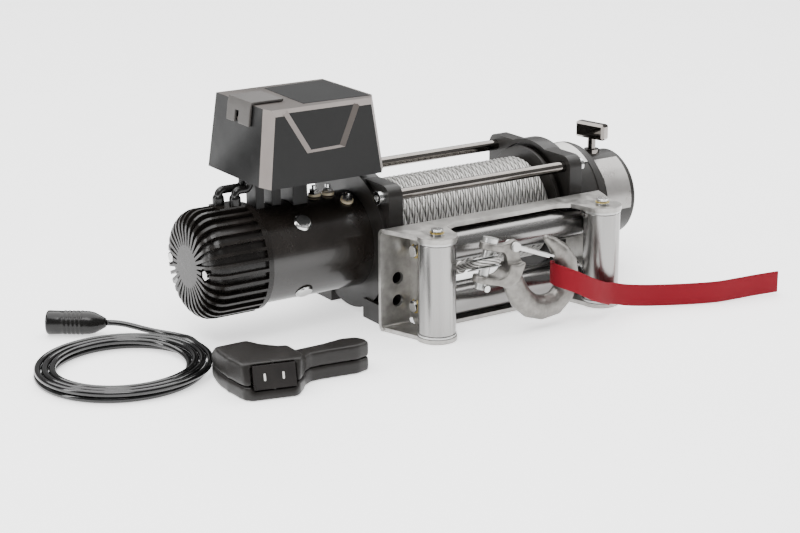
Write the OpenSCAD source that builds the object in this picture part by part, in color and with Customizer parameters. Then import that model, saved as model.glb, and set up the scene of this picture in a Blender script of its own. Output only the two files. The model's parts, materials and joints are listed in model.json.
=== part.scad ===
// Electric recovery winch with roller fairlead, wire rope, clevis hook and corded handset.
// X runs along the drum, the gear end is +X. The rope leaves towards -Y. Z is up.
// The origin is the middle of the four foot bolts, on the plane that the feet stand on.

/* [Frame] */
// Height of the drum and motor axis above the feet
axis_h = 83; // [80:1:92]
// Distance between the inner faces of the two drum supports
support_gap = 227; // [215:1:240]
// Radius of the round body of a drum support
support_r = 79; // [76:0.5:80]
// Thickness of a drum support along the axis
support_t = 21.5; // [18:0.5:24]
// Thickness of the part of a support that carries a tie rod
lug_t = 17.5; // [14:0.5:18]
// Radius of the lug round a tie rod
lug_r = 13; // [11:0.5:14]
// Depth of the winch from the front face of the feet to the rear face
foot_depth = 168; // [160:1:176]
// Width of a foot along the axis
foot_w = 24.5; // [22:0.5:28]
// Height of a foot
foot_h = 22; // [18:1:26]
// Distance of the foot bolts along the axis
foot_bolt_x = 254; // [250:1:256]
// Distance of the foot bolts front to back
foot_bolt_y = 114.3; // [110:0.1:120]
// Radius of a foot bolt hole
foot_bolt_r = 5.3; // [4:0.1:6]
// Sideways distance of a tie rod from the axis
tie_y = 66; // [62:0.5:68]
// Height of a tie rod above the axis
tie_up = 60; // [56:0.5:62]
// Radius of a tie rod
tie_r = 6.35; // [5:0.05:7]

/* [Drum and rope] */
// Outer radius of the drum tube
drum_r = 32; // [31:0.5:34]
// Wall of the drum tube
drum_wall = 6; // [5:0.5:7]
// Radius of a drum flange
flange_r = 71; // [68:0.5:72]
// Thickness of a drum flange
flange_t = 5; // [4:0.5:6]
// Radius of the wire rope
rope_r = 4; // [3.5:0.1:4.1]
// Outer radius of the full rope pack
pack_r = 60; // [56:0.5:62]
// Number of rope loops in the outer layer
rope_turns = 24; // [12:1:24]

/* [Motor] */
// Outer radius of the motor case
motor_r = 54; // [52:0.5:56]
// Wall of the motor case
motor_wall = 4.5; // [4:0.5:6]
// Length of the motor case
motor_l = 127; // [120:1:134]
// Length of the ribbed end cap
cap_l = 73; // [68:1:80]
// Radius over the ribs of the end cap
cap_r = 59.8; // [58:0.2:61]
// Number of cooling ribs
rib_count = 32; // [24:1:36]
// Thickness of a cooling rib
rib_t = 3.4; // [2.6:0.2:4]
// Depth of a cooling rib
rib_depth = 5; // [3:0.5:6]
// Radius of the plain disc on the end cap
cap_disc_r = 23; // [18:1:26]
// Radius of the armature core
armature_r = 36.5; // [34:0.5:37]

/* [Gear housing] */
// Radius of the large gear housing
gear_r = 67.5; // [66:0.5:70]
// Length of the large gear housing
gear_l = 41; // [38:1:44]
// Radius of the end housing
end_r = 51.5; // [51:0.5:53]
// Length of the end housing
end_l = 62; // [58:1:66]
// Tooth module of the planetary gears
tooth_module = 1.75; // [1.7:0.01:1.78]
// Width of a gear
gear_w = 18; // [14:1:20]

/* [Fairlead] */
// Length of the fairlead
fair_l = 297.5; // [290:0.5:304]
// Height of the fairlead
fair_h = 115.6; // [110:0.2:120]
// Plate thickness of the fairlead
fair_t = 4.8; // [4:0.2:5.2]
// Distance from the front of the feet to the upright roller axes
upright_out = 57.1; // [55:0.1:60]
// Distance between the upright roller axes
upright_gap = 222.6; // [216:0.2:228]
// Radius of an upright roller
upright_r = 20.4; // [18:0.1:21]
// Radius of the ear round an upright roller pin
ear_r = 21.8; // [21:0.2:24]
// Distance from the front of the feet to the level roller axes
level_out = 19; // [18:0.5:20]
// Height of the level roller axes above and below the middle
level_up = 31; // [29:0.5:33]
// Radius of a level roller
level_r = 18; // [15:0.1:18]
// Radius of the roller pins
pin_r = 6.4; // [5:0.1:7]
// Height step of the fairlead bolt holes
fair_bolt_z = 25.4; // [24:0.1:27]
// Radius of a fairlead bolt hole
fair_bolt_r = 6.8; // [6:0.1:7.5]

/* [Control box] */
// Height of the underside of the control box above the motor case
box_up = 33; // [29:1:37]
// Height of the control box
box_h = 81; // [76:1:86]
// Length of the control box at the bottom
box_l = 153; // [146:1:158]
// Depth of the control box at the bottom
box_d = 132; // [124:1:136]
// Draft of the ends over the full height
box_draft_x = 10; // [4:0.5:12]
// Draft of the front and back over the full height
box_draft_y = 5; // [3:0.5:9]
// Depth of the cut at the two front corners of the control box
box_chamfer = 18; // [12:0.5:20]
// Wall of the control box
box_wall = 3; // [2:0.5:4]
// How far the control box reaches past the outer end of the motor case
box_over = 9; // [6:1:14]

/* [Hook] */
// Radius of the clevis pin
clevis_r = 5.8; // [5:0.1:6]
// Clear opening between the ears of the clevis
clevis_gap = 28; // [26:1:32]
// Thickness of an ear of the clevis
clevis_ear = 8; // [6:0.5:9]
// Depth of the hook's yoke from front to back
yoke_w = 22; // [18:1:24]
// Width of the pull strap
strap_w = 25; // [22:1:26]
// Thickness of the pull strap
strap_t = 2.6; // [2:0.2:3]

/* [Handset and lead] */
// Radius of the lead
lead_r = 3.3; // [3:0.1:3.4]
// Middle radius of the outer turn of the coil
coil_r = 90; // [86:1:92]
// Step from one turn of the coil to the next
coil_step = 7.6; // [7.2:0.1:7.8]
// Turns in each layer of the coil
coil_turns = 3; // [2:1:3]
// Height of the split between the two halves of the handset
shell_split = 15; // [12:0.5:18]
// Height of the handset body
handset_h = 37; // [35:1:40]

/* [Hidden] */

// Fits and clearances
run_fit = 0.05;
slip = 0.1;
loose = 0.3;
cut = 1;
skin_t = 0.01;
saddle_fit = 0.02;
fine = 64;
rough = 32;

// Frame places
support_in = support_gap / 2;
support_out = support_in + support_t;
lug_out = support_in + lug_t;
foot_y = foot_depth / 2;
foot_in = 34;
flange_gap = 3;
recess_r = flange_r + flange_gap;
recess_depth = 5;
front_pad_t = 13;
shoulder_up = 21;
shoulder_rise = 8;
shoulder_h = axis_h + shoulder_up;
crown_turn = atan2(tie_up, tie_y) + acos((support_r - lug_r) / norm([tie_y, tie_up]));
key_share = 0.8;
end_gap = 1;
bolt_grip = 12;
bushing_wall = 4;
neck_r = 29;
bushing_r = neck_r + run_fit + bushing_wall;
tie_bolt_r = 5;
tie_bolt_head_r = 7.5;
tie_bolt_head = 8;
tie_thread = 12;
motor_wall_t = 6;
journal_r = 9;

// Drum places
drum_flange_out = support_in - flange_gap;
drum_flange_in = drum_flange_out - flange_t;
drum_bore = drum_r - drum_wall;
wind_r = pack_r - rope_r;
rings_per_loop = 24;
core_r = (wind_r - rope_r) * cos(180 / rings_per_loop) - loose;
wind_step = (2 * (drum_flange_in - rope_r) - end_gap) / rope_turns;
motor_neck = support_out - motor_wall_t - end_gap;
gear_neck = support_out;

// Motor places
case_in = -support_out;
case_out = case_in - motor_l;
cap_out = case_out - cap_l;
case_bore = motor_r - motor_wall;
shoulder_r = 20;
shaft_r = 7;
bolt_reach = 40;
bolt_r = 3;
bolt_seat = 6;
bolt_seat_r = 7.5;
bolt_head_r = 5.6;
bolt_head_t = 5.5;
bolt_short = 9;
cap_shoulder = 2;
cap_slope = 6;
cap_face_t = 4;
cap_wall = 14;
cap_mouth = 1;
hub_share = 0.5;
rib_root = 3;
rib_end = 6;
core_front = 16;
core_back = 27;
core_start = case_out + core_front;
core_end = case_in - core_back;
core_mid = (core_start + core_end) / 2;
pole_shift = 11;
pole_x = core_mid - pole_shift;
pole_angles = [45, 135, 225, 315];
pole_head_r = 10.5;
pole_head = 3.2;
pole_dome = 2.5;
pole_shank_r = 4;
pole_shank = 12;
pole_gap = 1.5;
pole_in = armature_r + pole_gap;
pole_l = core_end - core_start;
pole_arc = 62;
coil_arc = 22;
coil_over = 7;
comm_l = 30;
comm_start = case_out - comm_l;
comm_r = 20;
comm_neck = 14;
core_collar = 10;
core_collar_in = 8;
shaft_end = 5;
coupling_gap = 1.2;
brush_out = 22;
brush_x = case_out - brush_out;
brush_t = 4;
brush_w = 9;
brush_l = 14;
brush_up = 20;
brush_room = 4;
boot_out = [30, 16.5];
boot_x = [for (d = boot_out) case_out - d];
boot_y = [6, -6];
boot_r = 6.3;
boot_h = 6.4;
boot_neck = 3;
boot_shift = [29.5, 17.5];
lead_turn = 6;
battery_r = 4.4;
pad_w = 26;
pad_l = 30;
pad_edge = 2;
pad_up = 60.2;
pad_z = axis_h + pad_up;
boot_top = pad_z + boot_h;
terminal_in = [43, 27, 15];
terminal_turn = [0, 2, 24];
stud_r = 3;
stud_deep = 4;
stud_up = 12;
washer_up = 3;
terminal_nut = 4.5;
terminal_nut_r = 6;
terminal_washer_r = 7.2;
brake_start = -92;
brake_step = -62;
brake_end = -40;
brake_tip_r = 18;

// Gear places
gear_in = support_out;
gear_out = gear_in + gear_l;
end_out = gear_out + end_l;
gear_wall = 5.5;
end_wall = 4.2;
screw_in = 9.5;
screw_deep = 11;
screw_head = 4;
screw_head_r = 5.4;
gear_band = 5;
gear_lid = 6;
gear_step = 1;
end_flange_t = 5;
end_flange_in = 2;
end_edge = 4;
end_lid = 7;
sun_teeth = 12;
planet_teeth = 18;
ring_teeth = 48;
pressure = 20;
backlash = 0.16;
addendum = 0.8;
dedendum = 1;
sun_pitch = sun_teeth * tooth_module / 2;
planet_pitch = planet_teeth * tooth_module / 2;
planet_orbit = sun_pitch + planet_pitch;
ring_r = end_r - end_wall - slip;
stage_in = 18;
stage_x = gear_out + stage_in;
carrier_t = 7;
carrier_gap = 3;
carrier_rim = 8;
carrier_x = stage_x - carrier_gap - carrier_t;
carrier_r = planet_orbit + carrier_rim;
hub_r = 20;
planet_pin_r = 4;
shaft_across = 6;
planet_pin_over = 5;
shaft_over = 4;
shaft_room = 1.2;
hub_step = 2;
lever_in = 32;
lever_x = gear_out + lever_in;
lever_post_r = 4.8;
lever_base_r = 9;
lever_base_t = 6;
lever_sunk = 1.8;
lever_seat = 2;
plunger_r = 3.5;
plunger_l = 8;
plunger_grip = 1.2;
plunger_seat = 1.5;
plunger_room = 9;
handle_l = 43;
handle_w = 13;
handle_h = 19.5;
handle_up = 17;
handle_z = axis_h + end_r + handle_up;
handle_turn = 77;
handle_edge = 3;

// Fairlead places
fair_back = -foot_y;
fair_front = fair_back - fair_t;
upright_y = fair_back - upright_out;
upright_x = upright_gap / 2;
level_y = fair_back - level_out;
ear_share = 0.66;
ear_low_share = 0.5;
lip_x = [68, 84];
lip_slope = 7;
relief_in = 2;
clip_wide = 1.6;
bend_r = 8;
bend_in = bend_r - fair_t;
clip_grip = 1.1;
groove_deep = 1.2;
upright_washer_over = 0.6;
level_washer_under = 1;
fair_mid = fair_h / 2;
tab_x = 106;
tab_t = 4.8;
tab_out = 13;
lip_out = 28;
window_l = 2 * tab_x;
window_h = 88;
window_round = 4;
relief_r = 8;
washer_t = 2.6;
clip_t = 1;
clip_out = 2.4;
pin_proud = 7;
head_t = 3;
head_r = 8;
fair_bolt_low = 31.8;

// Box places
bx = box_l / 2;
by = box_d / 2;
box_x = case_out - box_over + bx;
box_end = case_out - box_over;
box_z = axis_h + motor_r + box_up;
box_top = box_z + box_h;
box_rim = 6;
box_y = 2;
corner_l = 5;
corner_r = 13;
recess_cut = 2;
recess_share = [[-0.346, 0.407], [0.255, 0.42], [0.516, 0.938], [0.346, 1.111], [-0.569, 1.111],
    [-0.686, 0.951]];
base_t = 3;
base_gap = 1;
socket_y = 5;
socket_down = 14;
socket_up = box_h - socket_down;
socket_in = 1.2;
socket_x = box_end + box_draft_x * socket_up / box_h + socket_in;
socket_z = box_z + socket_up;
socket_r = 8.5;
socket_l = 24;
socket_deep = 11;
socket_wall = 2.5;
socket_cut = 10;
flap_t = 3;
flap_y = [-20, 30];
flap_top = 0.5;
flap_in = 45;
flap_roll = 1.7;
flap_bend = -0.8;
flap_lean = 1.2;
flap_hang = 3.4;
flap_low = [22.6, 22.2];
flap_high = [4.8, 3.8];
flap_fold = -2;
flap_slot = [14, 8, 22];
flap_slot_out = 12;
flap_slot_y = 4;
flap_slot_low = 31;
leg_share = [[0.147, 0.134, 0.341], [0.428, 0.147, 0.279], [0.775, 0.241, 0.465]];
leg_room = motor_l - terminal_in[0] - terminal_washer_r - pad_edge;
leg_sunk = 6;
contactor_l = 60;
contactor_w = 48;
contactor_h = 42;
contactor_post_x = 18;
contactor_post_y = 12;
contactor_post_r = 4;
contactor_post_h = 9;

// Hook place, tilt and outline. The tables list places in the hook's own plane.
hook_at = [-70, -172, 86];
hook_tilt = 14;
pin_up = clevis_gap / 2 + clevis_ear;
limb = [[34, -6], [44, -21], [57, -35], [72, -42.5], [88, -43.5], [104, -37.5], [113.5, -24],
    [115, -6], [109, 9], [97.5, 20.5], [84, 28.5], [71, 34]];
limb_half = [11, 13, 14, 14, 14, 14.5, 14.5, 14, 13, 11, 7.5, 3];
limb_deep = [8, 9, 10, 10.5, 10.5, 10.5, 10.5, 10, 9.4, 8.2, 6, 3];
yoke_side = [[16, 22], [26, 25], [37, 18], [46, 4], [42, -16], [32, -24.5], [16, -22]];
throat_in = 12;
latch_pivot = [31, 21];
latch_lug_r = 7;
latch_rivet_r = 3;
rivet_head_r = 5.2;
rivet_head = 1.6;
latch_l = 54.8;
latch_t = 2.2;
latch_w = 13;
latch_room = 19;
latch_eye_r = 5.5;
latch_side = [2.5, 4.5];
latch_short = 6;
latch_bridge = [0.5, 2.5];
latch_turn = 7.1;
pin_low = 7;
pin_head = 5;
pin_head_over = 2.6;
cotter_r = 1.6;
cotter_in = 4;
cotter_over = 4.5;
cotter_head = 2.6;
cotter_head_r = 3.6;
eye_r = 13;
eye_tilt = 20;
eye_turn = 74;
eye_l = 34;
ferrule_l = 20;
ferrule_r = 7;
ferrule_flat = 1.15;

// Rope from the drum to the ferrule
eye_dir = [-cos(eye_turn), sin(eye_turn) * cos(eye_tilt), -sin(eye_turn) * sin(eye_tilt)];
rope_straight = 6;
ferrule_end = hook_at + (eye_l + ferrule_l) * eye_dir;
tail_r = pack_r + rope_r + loose;
rope_points = concat([for (a = [10 : 7 : 24]) [-60 - a / 4, -tail_r * sin(a), axis_h - tail_r * cos(a)]],
    [[-69, -37, 29], [-72.5, -49, 34.4], [-76, -61, 39.8],
    [-79.5, -73, 45.2], [-82.8, -85, 50.8], [-85.4, -96, 55.8], [-86.6, -105, 60], [-86.4, -112.5, 63.6]],
    [ferrule_end + rope_straight * eye_dir, ferrule_end]);
strap_points = [[95, -178.2, 22.5], [79, -169, 29.5], [65, -160.5, 37], [50, -155.5, 45],
    [36, -156, 52.5], [25.8, -161.2, 57], [20, -170.8, 58.5], [19, -181, 58.5], [22.3, -191.5, 57.5],
    [32.5, -200, 53], [47, -202, 44.5], [64, -198, 36.5], [81, -189.5, 29.5], [97, -182, 24.5],
    [116, -181, 19], [136, -184, 15.6], [158, -190, 13.6], [188, -203, 13], [220, -215, 13],
    [248, -219, 13.2], [272, -222, 13.6], [302, -228, 14.4]];

// Lead and handset places. The route's points are round numbers.
coil_c = [-436, -50];
sink_share = 0.8;
layer_gap = 0.4;
coil_base = sink_share * lead_r;
coil_lift = 2 * lead_r + layer_gap;
plug_at = [-400.4, 68.2, 13.6];
plug_turn = 145;
plug_l = 64;
plug_r = 13.5;
plug_neck = 14;
plug_neck_r = 5;
run_plug = [[-400.4, 68.2, 13.6], [-392.2, 62.5, 13.5], [-384, 56.7, 12.4], [-375.5, 50.2, 11], [-367.5, 43, 10],
    [-359.5, 33.5, 9.5], [-353, 23, 9.4], [-348, 11.5, 9.4], [-344.6, -1, 9.5], [-342.6, -12, 9.6],
    [-343, -23, 9.6], [-344.6, -33, 9.6], [-346, -42, coil_base + coil_lift], [-346, -50, coil_base + coil_lift]];
run_handset = [[-346, -50, coil_base], [-345.4, -57, coil_base], [-343.8, -64, coil_base], [-342, -71, 3],
    [-341.4, -78, 4.6], [-343, -85, 7.4], [-347, -90.5, 10.4], [-351.6, -95, 12.8], [-354, -99.5, 14],
    [-354, -106, 14]];

function unit(v) = v / norm(v);
function along(p, i) =
    let(a = p[max(i - 1, 0)], b = p[min(i + 1, len(p) - 1)]) unit(b - a);
function inv(a) = tan(a) - a * PI / 180;

// A section swept along points, with a reference direction for each ring
module sweep(points, refs, section, caps) {
    n = len(points);
    sides = len(section);
    rings = [for (i = [0 : n - 1])
        let(t = along(points, i), e1 = unit(refs[i] - (refs[i] * t) * t), e2 = cross(t, e1))
        for (q = section) points[i] + q[0] * e1 + q[1] * e2];
    skin = [for (i = [0 : n - 2], j = [0 : sides - 1])
        let(a = i * sides + j, b = i * sides + (j + 1) % sides) each
            [[a, a + sides, b + sides], [a, b + sides, b]]];
    last = [for (f = caps) [for (j = [len(f) - 1 : -1 : 0]) (n - 1) * sides + f[j]]];
    polyhedron(points = rings, faces = concat(skin, caps, last), convexity = 12);
}

// A tube of round section along points
module tube(points, refs, r, sides) {
    sweep(points, refs, [for (j = [0 : sides - 1]) r * [cos(360 * j / sides), sin(360 * j / sides)]],
        [for (j = [1 : sides - 2]) [0, j, j + 1]]);
}

// A flat band standing on edge along points
module band(points, wide, thick) {
    n = len(points);
    rings = [for (i = [0 : n - 1])
        let(t = along(points, i), s = unit(cross([0, 0, 1], t))) each
            [points[i] - s * thick / 2 - [0, 0, wide / 2], points[i] + s * thick / 2 - [0, 0, wide / 2],
             points[i] + s * thick / 2 + [0, 0, wide / 2], points[i] - s * thick / 2 + [0, 0, wide / 2]]];
    skin = [for (i = [0 : n - 2], j = [0 : 3])
        let(a = i * 4 + j, b = i * 4 + (j + 1) % 4) each [[a, b + 4, a + 4], [a, b, b + 4]]];
    ends = [[0, 2, 1], [0, 3, 2], [4 * n - 4, 4 * n - 3, 4 * n - 2], [4 * n - 4, 4 * n - 2, 4 * n - 1]];
    polyhedron(points = rings, faces = concat(skin, ends), convexity = 8);
}

// A cylinder along X from one place to another
module bar_x(x0, x1, r, f = fine) {
    translate([min(x0, x1), 0, 0]) rotate([0, 90, 0]) cylinder(h = abs(x1 - x0), r = r, $fn = f);
}

// A flat shape drawn in Y and Z, with thickness along X
module plate_x(x0, x1) {
    translate([min(x0, x1), 0, 0]) rotate([90, 0, 90]) linear_extrude(abs(x1 - x0)) children();
}

module on_axis() {
    translate([0, 0, axis_h]) children();
}

// A toothed outline. The sides follow an involute, grow widens them.
module toothed(teeth, up, down, grow) {
    pitch = teeth * tooth_module / 2;
    base = pitch * cos(pressure);
    radii = [pitch - down * tooth_module, max(base, pitch - down * tooth_module / 2), pitch,
        pitch + up * tooth_module / 2, pitch + up * tooth_module];
    function half(r) = 90 / teeth + grow / pitch * 180 / PI
        + (inv(pressure) - inv(acos(min(1, base / max(r, base))))) * 180 / PI;
    polygon([for (k = [0 : teeth - 1], s = [-1, 1], i = [0 : 4])
        let(r = radii[s < 0 ? i : 4 - i], a = 360 * k / teeth + s * half(r)) r * [cos(a), sin(a)]]);
}

module support_outline() {
    translate([0, axis_h]) circle(r = support_r, $fn = 96);
    for (s = [-1, 1]) {
        polygon([[s * foot_in, 0], [s * foot_y, 0], [s * foot_y, shoulder_h],
            [s * (tie_y + lug_r), shoulder_h + shoulder_rise], [s * (tie_y + lug_r), axis_h + tie_up],
            [s * (tie_y + lug_r * cos(crown_turn)), axis_h + tie_up + lug_r * sin(crown_turn)],
            [s * support_r * cos(crown_turn), axis_h + support_r * sin(crown_turn)],
            [0, axis_h], [s * foot_in, foot_h]]);
        translate([s * tie_y, axis_h + tie_up]) circle(r = lug_r, $fn = fine);
    }
}

// One drum support for the +X side, before its bores
module support_body() {
    difference() {
        union() {
            intersection() {
                plate_x(support_in, lug_out) support_outline();
                translate([support_in, -foot_y, 0]) cube([foot_w, foot_depth, axis_h + tie_up + lug_r]);
            }
            on_axis() bar_x(support_in, support_out, support_r, 96);
            for (s = [-1, 1]) {
                translate([support_in, s > 0 ? foot_in : -foot_y, 0])
                    cube([foot_w, foot_y - foot_in, foot_h]);
                translate([support_in, s > 0 ? foot_y - front_pad_t : -foot_y, 0])
                    cube([foot_w, front_pad_t, shoulder_h - lug_r]);
            }
        }
        translate([support_in - cut, -foot_y - cut, -support_r])
            cube([foot_w + 2 * cut, foot_depth + 2 * cut, support_r]);
        on_axis() bar_x(support_in - cut, support_in + recess_depth, recess_r, 96);
        for (sy = [-1, 1]) {
            translate([foot_bolt_x / 2, sy * foot_bolt_y / 2, -cut])
                cylinder(h = foot_h + 2 * cut, r = foot_bolt_r, $fn = rough);
            translate([support_in - cut, sy * tie_y, axis_h + tie_up])
                bar_x(0, tie_thread / 2 + cut, tie_r + slip, rough);
            translate([support_in, sy * tie_y, axis_h + tie_up]) bar_x(0, lug_t + cut, tie_bolt_r + slip, rough);
        }
        for (k = [0, 1]) translate([foot_bolt_x / 2, -foot_y - cut, fair_bolt_low + k * fair_bolt_z])
            rotate([-90, 0, 0]) cylinder(h = front_pad_t + 2 * cut, r = fair_bolt_r, $fn = rough);
    }
}

module motor_support() {
    color("#1b1a19") difference() {
        mirror([1, 0, 0]) support_body();
        on_axis() bar_x(-support_in, -motor_neck - end_gap, bushing_r + run_fit);
        on_axis() bar_x(-support_in, -support_out - cut, journal_r + run_fit);
        for (a = [0, 180]) on_axis() rotate([a, 0, 0]) translate([-support_out - cut, bolt_reach, 0])
            bar_x(0, bolt_grip, bolt_r + slip, rough);
    }
}

module gear_support() {
    color("#1b1a19") difference() {
        support_body();
        on_axis() bar_x(support_in, support_out + cut, bushing_r + run_fit);
        for (i = [0 : 5]) on_axis() rotate([i * 60 + 30, 0, 0])
            translate([support_out - bolt_grip, gear_r - screw_in, 0])
            bar_x(0, bolt_grip + cut, bolt_r + slip, rough);
    }
}

module tie_rods() {
    color("#8f8c88") for (s = [-1, 1]) translate([0, s * tie_y, axis_h + tie_up]) difference() {
        bar_x(-support_in - tie_thread / 2, support_in + tie_thread / 2, tie_r);
        for (e = [-1, 1]) bar_x(e * (support_in + tie_thread / 2 + cut),
            e * (support_in - tie_thread), tie_bolt_r + slip, rough);
    }
}

module tie_rod_bolts() {
    color("#c9c9c7") for (s = [-1, 1], e = [-1, 1]) translate([0, s * tie_y, axis_h + tie_up]) difference() {
        union() {
            bar_x(e * (support_in - tie_thread + end_gap), e * lug_out, tie_bolt_r, rough);
            bar_x(e * lug_out, e * (lug_out + tie_bolt_head), tie_bolt_head_r, rough);
        }
        bar_x(e * (lug_out + tie_bolt_head / 2), e * (lug_out + tie_bolt_head + cut), tie_bolt_r * key_share, 6);
    }
}

module drum() {
    color("#232221") on_axis() difference() {
        union() {
            bar_x(-drum_flange_in, drum_flange_in, drum_r);
            for (e = [-1, 1]) bar_x(e * drum_flange_in, e * drum_flange_out, flange_r, 96);
            bar_x(-motor_neck, -drum_flange_in, neck_r);
            bar_x(drum_flange_in, gear_neck, neck_r);
        }
        bar_x(-motor_neck - cut, gear_neck + cut, drum_bore);
    }
}

module drum_bushings() {
    color("#b08d57") on_axis() {
        difference() {
            bar_x(-motor_neck, -support_in - recess_depth, bushing_r);
            bar_x(-motor_neck - cut, -support_in, neck_r + run_fit);
        }
        difference() {
            bar_x(support_in + recess_depth, gear_neck - slip, bushing_r);
            bar_x(support_in, gear_neck + cut, neck_r + run_fit);
        }
    }
}

module rope_core() {
    color("#9a9894") on_axis() difference() {
        bar_x(-drum_flange_in + slip, drum_flange_in - slip, core_r);
        bar_x(-drum_flange_in, drum_flange_in, drum_r + slip);
    }
}

// The outer layer: one tube that winds from flange to flange
winding_points = [for (i = [0 : rope_turns * rings_per_loop])
    let(a = 360 * i / rings_per_loop)
    [wind_step * (i / rings_per_loop - rope_turns / 2), wind_r * sin(a), axis_h - wind_r * cos(a)]];
winding_refs = [for (p = winding_points) [0, p[1], p[2] - axis_h]];

module rope_winding() {
    color("#bdbbb6") tube(winding_points, winding_refs, rope_r, 6);
}

module hook_place() {
    translate(hook_at) rotate([0, hook_tilt, 0]) children();
}

// The eye of the rope and the thimble in it lean on the pin, towards the rope
eye_side = [[-34, 4.3], [-29, 4.3], [-24, 5.6], [-18, 7.7], [-11, 10.1]];
eye_points = concat([for (q = eye_side) [q[0], -q[1], 0]],
    [for (a = [-108 : 12 : 108]) eye_r * [cos(a), sin(a), 0]],
    [for (k = [len(eye_side) - 1 : -1 : 0]) [eye_side[k][0], eye_side[k][1], 0]]);
thimble_section = [[-6.4, 2.6], [-4.8, -4.2], [-2.2, -5.3], [2.2, -5.3], [4.8, -4.2], [6.4, 2.6],
    [5.2, 2.6], [4.1, -2.9], [2, -4.1], [-2, -4.1], [-4.1, -2.9], [-5.2, 2.6]];

module eye_place() {
    translate(hook_at) rotate([-eye_tilt, 0, 0]) rotate([0, 0, -eye_turn]) children();
}

module rope_tail() {
    color("#bdbbb6") {
        tube(rope_points, [for (p = rope_points) [0, 0, 1]], rope_r, 10);
        eye_place() tube(eye_points, [for (p = eye_points) [0, 0, 1]], rope_r, 10);
    }
}

module rope_ferrule() {
    color("#8d8b87") eye_place() translate([-eye_l - ferrule_l, 0, 0]) scale([1, ferrule_flat, 1])
        rotate([0, 90, 0]) cylinder(h = ferrule_l, r = ferrule_r, $fn = rough);
}

module thimble() {
    n = len(eye_points);
    part = [for (k = [3 : n - 4]) eye_points[k]];
    color("#c4c2bd") eye_place() sweep(part, [for (p = part) [0, 0, 1]], thimble_section,
        [for (k = [0 : 4]) each [[k, k + 1, 10 - k], [k, 10 - k, 11 - k]]]);
}

module clevis_pin() {
    color("#c9c7c2") hook_place() difference() {
        union() {
            translate([0, 0, -pin_up - pin_low])
                cylinder(h = 2 * pin_up + pin_low + end_gap, r = clevis_r, $fn = rough);
            translate([0, 0, pin_up + slip]) cylinder(h = pin_head, r = clevis_r + pin_head_over, $fn = rough);
        }
        translate([0, 0, -pin_up - cotter_in]) rotate([90, 0, 0])
            cylinder(h = 4 * clevis_r, r = cotter_r + slip, center = true, $fn = 16);
    }
}

module cotter_pin() {
    color("#c9c7c2") hook_place() translate([0, 0, -pin_up - cotter_in]) rotate([90, 0, 0]) {
        cylinder(h = 2 * (clevis_r + cotter_over), r = cotter_r, center = true, $fn = 16);
        translate([0, 0, clevis_r + cotter_in]) cylinder(h = cotter_head, r = cotter_head_r, $fn = 24);
    }
}

// The curved limb of the hook: oval rings along its middle line
module hook_limb() {
    n = len(limb);
    sides = 16;
    rings = [for (i = [0 : n - 1])
        let(a = limb[max(i - 1, 0)], b = limb[min(i + 1, n - 1)], t = unit(b - a), m = [-t[1], t[0]])
        for (j = [0 : sides - 1])
            let(q = 360 * j / sides, c = cos(q) * limb_half[i])
            [limb[i][0] + c * m[0], sin(q) * limb_deep[i], limb[i][1] + c * m[1]]];
    skin = [for (i = [0 : n - 2], j = [0 : sides - 1])
        let(a = i * sides + j, b = i * sides + (j + 1) % sides) each
            [[a, b + sides, a + sides], [a, b, b + sides]]];
    first = [for (j = [1 : sides - 2]) [0, j + 1, j]];
    last = [for (j = [1 : sides - 2]) [(n - 1) * sides, (n - 1) * sides + j, (n - 1) * sides + j + 1]];
    polyhedron(points = rings, faces = concat(skin, first, last), convexity = 8);
}

module hook() {
    lug_w = latch_w - 2 * latch_t - 2 * loose;
    color("#a9a69f") hook_place() difference() {
        union() {
            hook_limb();
            rotate([90, 0, 0]) linear_extrude(yoke_w, center = true)
                polygon(concat([[0, pin_up]], yoke_side, [[0, -pin_up]]));
            for (e = [0, 1]) translate([0, 0, e * (clevis_gap + clevis_ear) - pin_up])
                cylinder(h = clevis_ear, r = yoke_w / 2, $fn = rough);
            translate([latch_pivot[0], 0, latch_pivot[1]]) rotate([90, 0, 0])
                cylinder(h = lug_w, r = latch_lug_r, center = true, $fn = rough);
        }
        rotate([90, 0, 0]) linear_extrude(2 * yoke_w, center = true) union() {
            translate([throat_in, 0]) circle(r = clevis_gap / 2, $fn = fine);
            translate([-yoke_w, -clevis_gap / 2]) square([yoke_w + throat_in, clevis_gap]);
        }
        cylinder(h = 4 * pin_up, r = clevis_r + run_fit, center = true, $fn = rough);
        translate([latch_pivot[0], 0, latch_pivot[1]]) rotate([90, 0, 0])
            cylinder(h = 2 * yoke_w, r = latch_rivet_r + run_fit, center = true, $fn = 24);
        for (s = [-1, 1]) translate([latch_pivot[0], s * (lug_w + yoke_w) / 2, latch_pivot[1]])
            rotate([90, 0, 0]) cylinder(h = yoke_w, r = latch_room, center = true, $fn = rough);
    }
}

module hook_latch() {
    color("#dcdbd8") hook_place() translate([latch_pivot[0], 0, latch_pivot[1]]) rotate([0, latch_turn, 0]) {
        for (s = [-1, 1]) translate([0, s * (latch_w - latch_t) / 2, 0]) difference() {
            union() {
                rotate([90, 0, 0]) cylinder(h = latch_t, r = latch_eye_r, center = true, $fn = rough);
                translate([0, -latch_t / 2, -latch_side[0]]) cube([latch_l - latch_short, latch_t, latch_side[1]]);
            }
            rotate([90, 0, 0]) cylinder(h = 2 * latch_t, r = latch_rivet_r + run_fit, center = true, $fn = 24);
        }
        translate([latch_room + end_gap, -latch_w / 2, -latch_bridge[0]])
            cube([latch_l - latch_room - end_gap, latch_w, latch_bridge[1]]);
    }
}

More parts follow.
